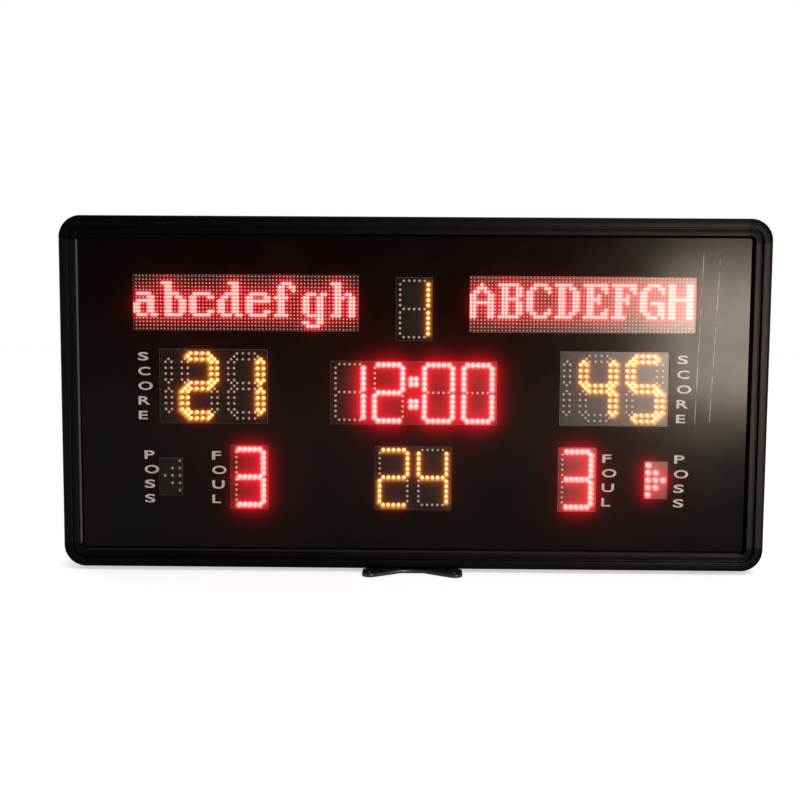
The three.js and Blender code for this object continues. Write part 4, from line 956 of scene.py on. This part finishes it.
def makeHanger(node):
    a, b = boxOf(node)
    x, z = middleOf(node)
    low, high, thick = a.y, b.y - hanger["thick"], hanger["thick"]
    inner, outer = hanger["top"], hanger["foot"]
    half = [
        (inner - thick, high), (inner - thick, low), (outer, low), (outer, low + thick),
        (inner, low + thick), (inner, high + thick),
    ]
    outline = half + [(-across, y) for across, y in reversed(half)]
    bm = addOutline(bmesh.new(), [(x + across, y, a.z) for across, y in outline], (0, 0, b.z - a.z))
    soften(bm, hanger["edge"])
    under, over = high - 1, high + thick + 1
    width, top, bottom = 2 * hanger["slot"], z + hanger["slotTop"], z - hanger["eyeDrop"]
    eye = addBar(bmesh.new(), "Y", (x, bottom), under, over, hanger["eye"])
    slot = addSlab(bmesh.new(), x, (top + bottom) / 2, width, top - bottom, under, over, width * fullRound)
    finishNode(node, "bracket", trimmed(trimmed(bm, eye, close=False), slot), [zincPlate])
    makeScrews(node + "_foot_screws", fourPlaces(x, low + thick, z, *hanger["screw"]), hanger["screwSize"])


makeHanger("hanger_left")
makeHanger("hanger_right")
print("back cover made")

# Mains inlet: a flanged housing with a mouth for the connector, a fuse well and a well for the rocker.
inlet = {
    "plate": 2.6, "corner": 2.6, "edge": 0.5, "body": (28.0, 47.0), "bodyCorner": 1.2,
    "mouth": (24.4, 16.8), "mouthDrop": 13.0, "mouthCorner": 4.5, "mouthDepth": 17.0,
    "pin": (2.0, 4.0), "pinLength": 10.5, "pinEdge": 0.6,
    "pins": [(-7.0, -15.0), (7.0, -15.0), (0.0, -10.8)],
    "fuse": (22.6, 6.6), "fuseRise": 1.9, "fuseDepth": 18.3, "key": (19.2, 13.2), "keyRise": 15.2,
    "keyDepth": 9.5, "wellCorner": 0.5, "ear": 20.0, "screwSize": 0.72,
}
inletLow, inletHigh = boxOf("power_inlet")
inletX, inletZ = middleOf("power_inlet")
inletBack = inletHigh.y
mouthFloor = inletBack - inlet["mouthDepth"]


def inletWells():
    over = inletBack + 1
    right, top = inlet["mouth"][0] / 2, inlet["mouth"][1] / 2
    slant = inlet["mouthCorner"]
    points = [(-right, -top), (right, -top), (right, top - slant), (right - slant, top),
              (-right + slant, top), (-right, top - slant)]
    middle = inletZ - inlet["mouthDrop"]
    mouth = [(inletX + x, mouthFloor, middle + z) for x, z in points]
    cutter = addOutline(bmesh.new(), mouth, (0, over - mouthFloor, 0))
    for well in ("fuse", "key"):
        z, floor = inletZ + inlet[well + "Rise"], inletBack - inlet[well + "Depth"]
        addSlab(cutter, inletX, z, *inlet[well], floor, over, inlet["wellCorner"])
    return cutter


def makeInlet():
    front = inletBack - inlet["plate"]
    width, height = inletHigh.x - inletLow.x, inletHigh.z - inletLow.z
    face = addSlab(bmesh.new(), inletX, inletZ, width, height, front, inletBack, inlet["corner"])
    face = trimmed(face, inletWells())
    bevelEdges(face, rimAt(face, inletBack), inlet["edge"])
    body = addSlab(bmesh.new(), inletX, inletZ, *inlet["body"], inletLow.y, front, inlet["bodyCorner"])
    absorb(face, trimmed(body, inletWells()))
    known = set(face.faces)
    wide, tall = inlet["pin"]
    for x, z in inlet["pins"]:
        verts = addBlock(face, (inletX + x - wide / 2, mouthFloor - 0.2, inletZ + z - tall / 2),
                         (inletX + x + wide / 2, mouthFloor + inlet["pinLength"], inletZ + z + tall / 2))
        edges = {edge for vert in verts for edge in vert.link_edges}
        ends = [edge for edge in edges if all(v.co.y > mouthFloor + 1 for v in edge.verts)]
        bevelEdges(face, ends, inlet["pinEdge"])
    paintNew(face, known, 1)
    finishNode("power_inlet", "housing", face, [blackNylon, zincPlate], smooth=None)
    places = [(inletX + side * inlet["ear"], inletBack, inletZ) for side in (-1, 1)]
    makeScrews("power_inlet_screws", places, inlet["screwSize"])


makeInlet()

# Rocker: a key with two flats that tilts about a pin, with a bar and a ring printed on them.
rocker = {
    "long": 9.0, "face": 3.5, "width": 12.6, "tilt": 8.0, "pin": 1.25, "pinReach": 7.6, "edge": 0.5,
    "mark": 4.9, "bar": (0.9, 4.6), "ring": (2.4, 1.6), "ink": 0.06,
}


def makeRocker():
    tilt = math.radians(rocker["tilt"])
    long, face, wide, ink = rocker["long"], rocker["face"], rocker["width"] / 2, rocker["ink"]
    rise = long * math.tan(tilt)
    outline = [(-long, -face), (long, -face), (long, face + rise), (0, face), (-long, face + rise)]
    bm = addOutline(bmesh.new(), [(x, y, -wide) for x, y in outline], (0, 0, 2 * wide))
    soften(bm, rocker["edge"])
    addBar(bm, "Z", (0, 0), -rocker["pinReach"], rocker["pinReach"], rocker["pin"], 20)
    known = set(bm.faces)
    for side in (-1, 1):
        verts = set(bm.verts)
        if side > 0:
            x, z = rocker["bar"]
            addBlock(bm, (-x / 2, 0, -z / 2), (x / 2, ink, z / 2))
        else:
            outer, inner = rocker["ring"]
            profile = [(inner, 0), (outer, 0), (outer, ink), (inner, ink), (inner, 0)]
            addTurned(bm, profile, (0, 0, 0), steps=32)
        fresh = [vert for vert in bm.verts if vert not in verts]
        away = rocker["mark"]
        place = (side * away * math.cos(tilt), face + away * math.sin(tilt), 0)
        turnAndMove(bm, fresh, side * tilt, "Z", place)
    paintNew(bm, known, 1)
    turnAndMove(bm, bm.verts, -tilt, "Z", (inletX, inletBack - face, inletZ + inlet["keyRise"]))
    closeShell(bm)
    finishNode("power_rocker", "key", bm, [blackNylon, legendInk], body="rocker")


makeRocker()

# Fuse drawer: a slim carrier with a finger groove in its end.
drawer = {"edge": 0.35, "lip": 0.9, "groove": 0.5}


def makeDrawer():
    bm = bmesh.new()
    addBlock(bm, *boxOf("fuse_drawer"))
    soften(bm, drawer["edge"])
    sinkFace(bm, (0, 1, 0), drawer["lip"], drawer["groove"])
    closeShell(bm)
    finishNode("fuse_drawer", "carrier", bm, [blackNylon], body="fuse_carrier", smooth=None)


makeDrawer()

# Data socket: a square flange and a threaded shell round an insulator with four contacts.
dataSocket = {
    "flange": 2.0, "corner": 2.0, "shell": 7.4, "barrel": 8.5, "bore": 6.2, "depth": 12.0,
    "thread": (2.6, 6.2, 0.9), "threadDepth": 0.4,
    "pin": 0.7, "pinRing": 3.2, "pinLength": 5.5, "screw": 9.8, "screwSize": 0.5, "edge": 0.3,
}


def makeDataSocket():
    low, high = boxOf("data_socket")
    x, z = middleOf("data_socket")
    shell, barrel, bore = (dataSocket[key] for key in ("shell", "barrel", "bore"))
    floor, brim = high.y - dataSocket["depth"], seat + dataSocket["flange"]
    profile = [(0, low.y), (shell, low.y), (shell, seat), (barrel, seat)]
    start, end, pitch = dataSocket["thread"]
    deep = dataSocket["threadDepth"]
    for i in range(int((end - start) / pitch)):
        y = seat + start + i * pitch
        profile += [(barrel, y), (barrel - deep, y + pitch / 2)]
    profile += [(barrel, seat + end), (barrel - deep, high.y), (bore + deep, high.y), (bore, high.y - deep),
                (bore, floor), (0, floor)]
    bm = addTurned(bmesh.new(), profile, (x, 0, z))
    for face in bm.faces:
        if abs(face.calc_center_median().y - floor) < 0.01:
            face.material_index = 1
    flange = addSlab(bmesh.new(), x, z, high.x - low.x, high.z - low.z, seat, brim, dataSocket["corner"])
    flange = trimmed(flange, addBar(bmesh.new(), "Y", (x, z), seat - 1, high.y, barrel - 0.3))
    bevelEdges(flange, rimAt(flange, brim), dataSocket["edge"])
    absorb(bm, flange)
    known = set(bm.faces)
    ring, radius, tip = dataSocket["pinRing"], dataSocket["pin"], floor + dataSocket["pinLength"]
    for turn in ((i + 0.5) * quarter for i in range(4)):
        addTurned(bm, [(0, floor - 0.2), (radius, floor - 0.2), (radius, tip - 0.5), (0.3, tip), (0, tip)],
                  (x + ring * math.cos(turn), 0, z + ring * math.sin(turn)), steps=12)
    paintNew(bm, known, 2)
    faceOut(bm)
    finishNode("data_socket", "shell", bm, [zincPlate, blackNylon, brass])
    away = dataSocket["screw"]
    makeScrews("data_socket_screws", fourPlaces(x, brim, z, away, away), dataSocket["screwSize"])


makeDataSocket()

# Aerial: a brass socket with its nut, a knurled knuckle that swivels and a whip that tilts in it.
aerial = {
    "nut": 6.0, "nutHeight": 3.0, "barrel": 3.1, "plug": 8.2, "sleeve": 5.4, "sleeveLength": 12.0,
    "knurl": (0.8, 7.0), "knurls": 24, "knurlShare": 0.92, "gap": 2.6, "ear": 4.8, "earWidth": 2.0,
    "pivot": 7.0, "pin": 1.3, "tongue": 4.4, "play": 0.3, "neck": 2.1, "neckFoot": 2.5, "foot": 9.0,
    "length": 112.0, "base": 4.6, "tip": 3.2,
}
aerialX, aerialZ = middleOf("antenna_socket")
sleeveFront = seat + aerial["nutHeight"] + 0.3
pivotY = sleeveFront + aerial["sleeveLength"] + aerial["pivot"]


def crossDisc(bm, reach, radius, sides=32):  # a disc across the pivot, along X
    return addBar(bm, "X", (pivotY, aerialZ), aerialX - reach, aerialX + reach, radius, sides)


def makeAerialSocket():
    place, low = (aerialX, aerialZ), boxOf("antenna_socket")[0]
    bm = addBar(bmesh.new(), "Y", place, seat, seat + aerial["nutHeight"], aerial["nut"], 6)
    soften(bm, 0.4, 70)
    addBar(bm, "Y", place, low.y, sleeveFront + aerial["plug"], aerial["barrel"], 28)
    finishNode("antenna_socket", "nut", bm, [brass])


def makeKnuckle():
    sleeve, hole = aerial["sleeve"], aerial["barrel"] + 0.1
    end, plug = aerial["sleeveLength"], aerial["plug"] + 0.3
    start, stop = aerial["knurl"]
    profile = [(0, plug), (hole, plug), (hole, 0), (sleeve - 0.4, 0), (sleeve, 0.4), (sleeve, start),
               (sleeve, start + 0.05), (sleeve, stop), (sleeve, stop + 0.05), (sleeve, end - 0.4),
               (sleeve - 0.4, end), (0, end)]
    bm = addTurned(bmesh.new(), profile, (aerialX, sleeveFront, aerialZ), steps=2 * aerial["knurls"])
    for vert in bm.verts:
        across, along = vert.co.x - aerialX, vert.co.z - aerialZ
        turn = math.atan2(along, across) / math.pi * aerial["knurls"]
        inside = sleeveFront + start + 0.02 < vert.co.y < sleeveFront + stop + 0.02
        if inside and math.hypot(across, along) > sleeve - 0.1 and round(turn) % 2:
            share = aerial["knurlShare"]
            vert.co.x, vert.co.z = aerialX + across * share, aerialZ + along * share
    ears = bmesh.new()
    foot, reach, half = sleeveFront + end - 0.2, aerial["ear"], aerial["gap"] + aerial["earWidth"]
    turns = [math.pi * i / 16 for i in range(17)]
    outline = [(foot, reach), (foot, -reach)]
    outline += [(pivotY + reach * math.sin(turn), -reach * math.cos(turn)) for turn in turns]
    for x in (-half, aerial["gap"]):
        addOutline(ears, [(aerialX + x, y, aerialZ + z) for y, z in outline], (aerial["earWidth"], 0, 0))
    barrel = addBar(bmesh.new(), "Y", (aerialX, aerialZ), foot - 1, pivotY + reach + 1, sleeve)
    ears = trimmed(ears, barrel, "INTERSECT")
    bevelEdges(ears, sharpEdges(ears, 40), 0.2, 1)
    absorb(bm, ears)
    known = set(bm.faces)
    crossDisc(bm, half - 0.4, aerial["pin"], 20)
    paintNew(bm, known, 1)
    faceOut(bm)
    finishNode("antenna_knuckle", "joint", bm, [blackNylon, zincPlate], body="aerial_knuckle")


def makeWhip():
    wide = aerial["gap"] - aerial["play"]
    foot, top = aerial["foot"], aerial["length"]
    base, tip = aerial["base"], aerial["tip"]
    profile = [(0, foot - 0.6), (base - 0.9, foot - 0.6), (base, foot + 0.6)]
    for i in range(3):  # three grip rings
        z = foot + 4 + 2.2 * i
        profile += [(base, z), (base - 0.5, z + 0.4), (base - 0.5, z + 1.1), (base, z + 1.5)]
    profile += [(base, foot + 11), (base - 0.5, foot + 14), (tip, top - 3), (tip - 0.4, top - 1.2),
                (tip - 1.3, top - 0.3), (0, top)]
    bm = addTurned(bmesh.new(), profile, (aerialX, pivotY, aerialZ), "Z", steps=32)
    closeShell(bm)
    tongue = crossDisc(bmesh.new(), wide, aerial["tongue"])
    absorb(bm, trimmed(tongue, crossDisc(bmesh.new(), wide + 1, aerial["pin"] + 0.1, 20)))
    neck, low = aerial["neck"], aerialZ + aerial["neckFoot"]
    addBlock(bm, (aerialX - wide, pivotY - neck, low), (aerialX + wide, pivotY + neck, aerialZ + foot))
    finishNode("antenna_whip", "rod", bm, [blackNylon], body="aerial_whip")


makeAerialSocket()
makeKnuckle()
makeWhip()
print("back fittings made")

# Clamp knob: six moulded lobes with a dished end, a hub and a zinc plated screw.
knob = {
    "grip": 19.0, "scallop": 1.8, "lobes": 6, "length": 15.0, "hub": 9.0, "edge": 1.4, "dish": 10.5,
    "dishDepth": 1.4, "screw": 4.0, "cap": 4.2,
}


def makeKnob():
    low, high = boxOf("clamp_knob")
    x, z = middleOf("clamp_knob")
    front = high.y - knob["length"]
    steps = knob["lobes"] * 14
    points = []
    for i in range(steps):
        turn = 2 * math.pi * i / steps
        radius = knob["grip"] - knob["scallop"] * (1 + math.cos(knob["lobes"] * turn))
        points.append((x + radius * math.cos(turn), front, z + radius * math.sin(turn)))
    bm = addOutline(bmesh.new(), points, (0, knob["length"], 0))
    faceOut(bm)
    bevelEdges(bm, rimAt(bm, high.y) + rimAt(bm, front), knob["edge"], 4)
    dish, floor, over = knob["dish"], high.y - knob["dishDepth"], high.y + 1
    profile = [(0, floor), (dish - 0.6, floor), (dish, floor + 0.6), (dish, over), (0, over)]
    bm = trimmed(bm, addTurned(bmesh.new(), profile, (x, 0, z)))
    hub = knob["hub"]
    profile = [(0, seat), (hub - 0.5, seat), (hub, coverBack + 0.8), (hub, front + 0.2), (0, front + 0.2)]
    addTurned(bm, profile, (x, 0, z))
    known = set(bm.faces)
    addBar(bm, "Y", (x, z), low.y, coverBack + 0.6, knob["screw"], 28)
    cap = knob["cap"]
    profile = [(0, floor - 0.5), (cap, floor - 0.5), (cap, floor + 0.5), (cap - 0.6, floor + 0.9),
               (0, floor + 0.9)]
    addTurned(bm, profile, (x, 0, z), steps=28)
    paintNew(bm, known, 1)
    faceOut(bm)
    finishNode("clamp_knob", "grip", bm, [blackNylon, zincPlate], body="pole_clamp", smooth=40)


makeKnob()

# Cross plate: four lobes joined by a waisted middle, with countersunk holes.
plate = {
    "hole": 60.0, "lobe": 11.0, "waist": 44.0, "flat": 16.0, "sideEnd": 38.0, "steps": 18, "edge": 0.8,
    "screw": 3.6, "sink": 5.5, "bolt": 33.0, "boltHole": 2.6, "boltSink": 5.4, "boltDepth": 2.9, "pole": 20.3,
}


def plateOutline():
    hole, radius, flat, waist = (plate[key] for key in ("hole", "lobe", "flat", "waist"))
    across, down = hole - flat, hole - waist
    lean = math.atan2(-down, across) - math.asin(radius / math.hypot(across, down))
    start = lean - quarter
    lobe = [(flat, -waist)]
    for i in range(plate["steps"] + 1):
        turn = start * (1 - i / plate["steps"])
        lobe.append((hole + radius * math.cos(turn), radius * math.sin(turn) - hole))
    lobe += [(hole + radius, -plate["sideEnd"]), (waist, -flat)]
    half = lobe + [(x, -y) for x, y in reversed(lobe)]
    return [(x, y, 0) for x, y in half + [(-x, y) for x, y in reversed(half)]]


def makePlate():
    top = boxOf("stand_plate")[1].z
    bm = addOutline(bmesh.new(), plateOutline(), (0, 0, top))
    faceOut(bm)
    rims = [edge for edge in sharpEdges(bm) if abs(edge.verts[0].co.z - edge.verts[1].co.z) < 0.001]
    bevelEdges(bm, rims, plate["edge"])
    cutter = bmesh.new()
    hole, sink, boltHole, boltSink = (plate[key] for key in ("screw", "sink", "boltHole", "boltSink"))
    screwProfile = [(0, -1), (hole, -1), (hole, top - (sink - hole)), (sink + 0.3, top + 0.3),
                    (0, top + 0.3)]
    boltProfile = [(0, -0.3), (boltSink + 0.3, -0.3), (boltHole, plate["boltDepth"]), (boltHole, top + 1),
                   (0, top + 1)]
    for place in fourPlaces(0, 0, 0, plate["hole"], plate["hole"]):
        addTurned(cutter, screwProfile, (place[0], place[2], 0), "Z")
    for side in (-1, 1):
        addTurned(cutter, boltProfile, (side * plate["bolt"], 0, 0), "Z")
    addBar(cutter, "Z", (0, 0), -1, top + 1, plate["pole"], 64)
    finishNode("stand_plate", "cross", trimmed(bm, cutter), [blackPaint])


makePlate()

# Countersunk bolts with a hexagon socket, which hold the plate and the flange to the bottom rail.
bolt = {"head": 5.0, "headHeight": 2.6, "shank": 2.5, "key": 1.75, "keyDepth": 1.6}


def makeBolt(node):
    low, high = boxOf(node)
    x, y = middleOf(node, (0, 1))
    head, shank, start, end = bolt["head"], bolt["shank"], low.z, high.z
    profile = [(0, start), (head, start), (head, start + 0.2), (shank, start + bolt["headHeight"]),
               (shank, end - 0.5), (shank - 0.5, end), (0, end)]
    bm = addTurned(bmesh.new(), profile, (x, y, 0), "Z", steps=28)
    key = addBar(bmesh.new(), "Z", (x, y), start - 1, start + bolt["keyDepth"], bolt["key"], 6)
    finishNode(node, "socket_head", trimmed(bm, key), [zincPlate])


makeBolt("stand_bolt_left")
makeBolt("stand_bolt_right")

# Pole socket: a closed tube with a boss for the clamp screw, and the flange round it.
pole = {
    "bore": 17.8, "wall": 2.2, "cap": 3.0, "boss": 9.0, "bossEnd": 38.2, "screwHole": 4.3, "corner": 4.0,
    "edge": 0.4, "bolt": 2.7,
}


def makePoleSocket():
    low, high = boxOf("pole_socket")
    bore, outer = pole["bore"], pole["bore"] + pole["wall"]
    z = middleOf("clamp_knob")[1]
    top, cap, hole = high.z, high.z - pole["cap"], pole["screwHole"]
    profile = [(0, cap), (bore, cap), (bore, low.z + 0.6), (bore + 0.6, low.z), (outer, low.z),
               (outer, top - 0.8), (outer - 0.8, top), (0, top)]
    tube = addTurned(bmesh.new(), profile, (0, 0, 0), "Z", steps=64)
    way = addBar(bmesh.new(), "Y", (0, z), bore * 0.5, pole["bossEnd"] + 1, hole, 28)
    tube = trimmed(tube, way, close=False)
    root, end = outer - 2.6, pole["bossEnd"]
    profile = [(hole, root), (pole["boss"], root), (pole["boss"], end), (hole, end), (hole, root)]
    boss = addTurned(bmesh.new(), profile, (0, 0, z))
    core = addBar(bmesh.new(), "Z", (0, 0), low.z, top, bore + 0.2, 64)
    absorb(tube, trimmed(boss, core, close=False))
    closeShell(tube)
    finishNode("pole_socket", "tube", tube, [blackPaint])


def makeFlange():
    low, high = boxOf("socket_flange")
    bm = addRounded(bmesh.new(), low, high, 2, pole["corner"])
    bevelEdges(bm, sharpEdges(bm, 70), pole["edge"])
    under, over = low.z - 1, high.z + 1
    cutter = addBar(bmesh.new(), "Z", (0, 0), under, over, plate["pole"], 64)
    for side in (-1, 1):
        addBar(cutter, "Z", (side * plate["bolt"], 0), under, over, pole["bolt"], 24)
    finishNode("socket_flange", "plate", trimmed(bm, cutter), [blackPaint])


makePoleSocket()
makeFlange()
print("stand made")

# Horn behind the grille: a throat that opens into a flare with a rim.
horn = {
    "profile": [(0, -44), (20, -44), (20, -34), (17, -34), (38, -2.5), (42, -2.5), (42, 0), (36, 0),
                (15, -32), (0, -32)],
}


def makeHorn():
    x, z = middleOf("horn")
    bm = addTurned(bmesh.new(), horn["profile"], (x, boxOf("horn")[1].y, z), steps=48)
    closeShell(bm)
    finishNode("horn", "flare", bm, [blackNylon])


makeHorn()


# Circuit boards: the sheet is green, its posts are zinc plated and what stands on it is moulded.
boardThickness = 1.6


def dressBoard(node, post):
    bm = bmesh.new()
    bm.from_mesh(nodes[node].data)
    bmesh.ops.scale(bm, vec=(perMetre,) * 3, verts=bm.verts)
    bmesh.ops.remove_doubles(bm, verts=bm.verts, dist=0.002)
    bmesh.ops.dissolve_limit(bm, angle_limit=math.radians(1), verts=bm.verts, edges=bm.edges)
    back = max(vert.co.y for vert in bm.verts) - post
    front = back - boardThickness
    for face in bm.faces:
        y = face.calc_center_median().y
        face.material_index = 1 if y > back + 0.05 else 2 if y < front - 0.05 else 0
        face.smooth = False
    finishNode(node, "assembly", bm, [solderMask, zincPlate, blackNylon], smooth=None)


dressBoard("receiver_board", 14.7)
dressBoard("control_board", 11.7)

# Inside pieces that keep their CAD shape and get their finish here.
for name, material in {"power_supply": zincPlate, "mains_lead": leadSleeve}.items():
    nodes[name].data.materials.clear()
    nodes[name].data.materials.append(material)
print("inside made")

# Stage: a pale floor and a white room. Camera and see-through rays find white all round. For other rays the
# room is white behind the board and dim in front of it, as it is in front of any lit display.
stage = {"radius": 6.0, "floor": "f2f1ef", "lift": 0.55, "room": (0.16, 0.155, 0.15)}
white = (1, 1, 1, 1)


def seenRays(tree):  # camera and see-through rays, and all outputs of the light path
    rays = addNode(tree, "LightPath").outputs
    clear = rays["Is Transmission Ray"]
    return addNode(tree, "Math", {0: rays["Is Camera Ray"], 1: clear}, operation="MAXIMUM"), rays


def makeFloor():
    material, tree, place = startMaterial("pale_floor")
    cloudy = addNode(tree, "TexNoise", {"Vector": place, "Scale": 3.0, "Detail": 2.0})
    tone = addNode(tree, "ValToRGB", {"Fac": cloudy}, [(0.3, "efeeec"), (0.7, stage["floor"])])
    seen, rays = seenRays(tree)
    shiny = addNode(tree, "Math", {0: rays["Is Glossy Ray"], 1: 0.3}, operation="MULTIPLY")
    both = addNode(tree, "Math", {0: seen, 1: shiny}, operation="MAXIMUM")
    lift = addNode(tree, "Math", {0: both, 1: stage["lift"]}, operation="MULTIPLY")
    light = addNode(tree, "Emission", {"Color": white, "Strength": lift})
    matt = addNode(tree, "BsdfDiffuse", {"Color": tone})
    addNode(tree, "OutputMaterial", {"Surface": addNode(tree, "AddShader", {0: matt, 1: light})})
    bm = bmesh.new()
    bmesh.ops.create_circle(bm, cap_ends=True, segments=96, radius=stage["radius"])
    floor = addObject("floor", meshOf("floor", bm))
    floor.data.materials.append(material)
    floor.location.z = -0.0002


def makeWorld():
    world = bpy.data.worlds.new("room")
    scene.world = world
    world.use_nodes = True
    tree = world.node_tree
    tree.nodes.clear()
    place = addNode(tree, "TexCoord").outputs["Generated"]
    toward = addNode(tree, "SeparateXYZ", {"Vector": place}).outputs["Y"]
    behind = addNode(tree, "MapRange", {"Value": toward, "From Min": -0.15, "From Max": 0.5})
    room = addNode(tree, "MixRGB", {"Fac": behind, "Color1": (*stage["room"], 1), "Color2": white})
    tone = addNode(tree, "MixRGB", {"Fac": seenRays(tree)[0], "Color1": room, "Color2": white})
    addNode(tree, "OutputWorld", {"Surface": addNode(tree, "Background", {"Color": tone, "Strength": 1.0})})


lamps = {  # place and aim in metres, size in metres, power in watts
    "key": {
        "place": (0.9, -2.4, 3.0), "aim": (0, 0, 0.25), "size": (2.4, 2.4), "power": 70, "tone": "ffffff",
    },
    "side": {
        "place": (1.12, -2.7, 0.215), "aim": (0.45, 0, 0.35), "size": (0.42, 0.52), "power": 50,
        "tone": "ffeedb",
    },
}


def makeLights():
    for name, item in lamps.items():
        light = bpy.data.lights.new(name, "AREA")
        light.shape, light.size, light.size_y = "RECTANGLE", *item["size"]
        light.energy, light.color = item["power"], colour(item["tone"])[:3]
        lamp = addObject(name, light)
        lamp.location = item["place"]
        aim = Vector(item["aim"]) - Vector(item["place"])
        lamp.rotation_mode = "QUATERNION"
        lamp.rotation_quaternion = aim.to_track_quat("-Z", "Y")


view = {"lens": 56.43, "place": (0.0015, -1.8041, 0.4186), "yaw": -0.667, "pitch": 5.51, "roll": 0.347}


def makeCamera():
    yaw, pitch, roll = (math.radians(view[key]) for key in ("yaw", "pitch", "roll"))
    forward = Vector((math.sin(yaw) * math.cos(pitch), math.cos(yaw) * math.cos(pitch), -math.sin(pitch)))
    level = Vector((math.cos(yaw), -math.sin(yaw), 0))
    upright = level.cross(forward)
    right = level * math.cos(roll) + upright * math.sin(roll)
    up = upright * math.cos(roll) - level * math.sin(roll)
    lens = bpy.data.cameras.new("camera")
    lens.lens, lens.sensor_width, lens.clip_end = view["lens"], 36.0, 100.0
    camera = addObject("camera", lens)
    turn = Matrix((right, up, -forward)).transposed().to_4x4()
    camera.matrix_world = Matrix.Translation(view["place"]) @ turn
    scene.camera = camera


makeFloor()
makeWorld()
makeLights()
makeCamera()
scene.view_settings.view_transform = "Standard"
print("stage made")
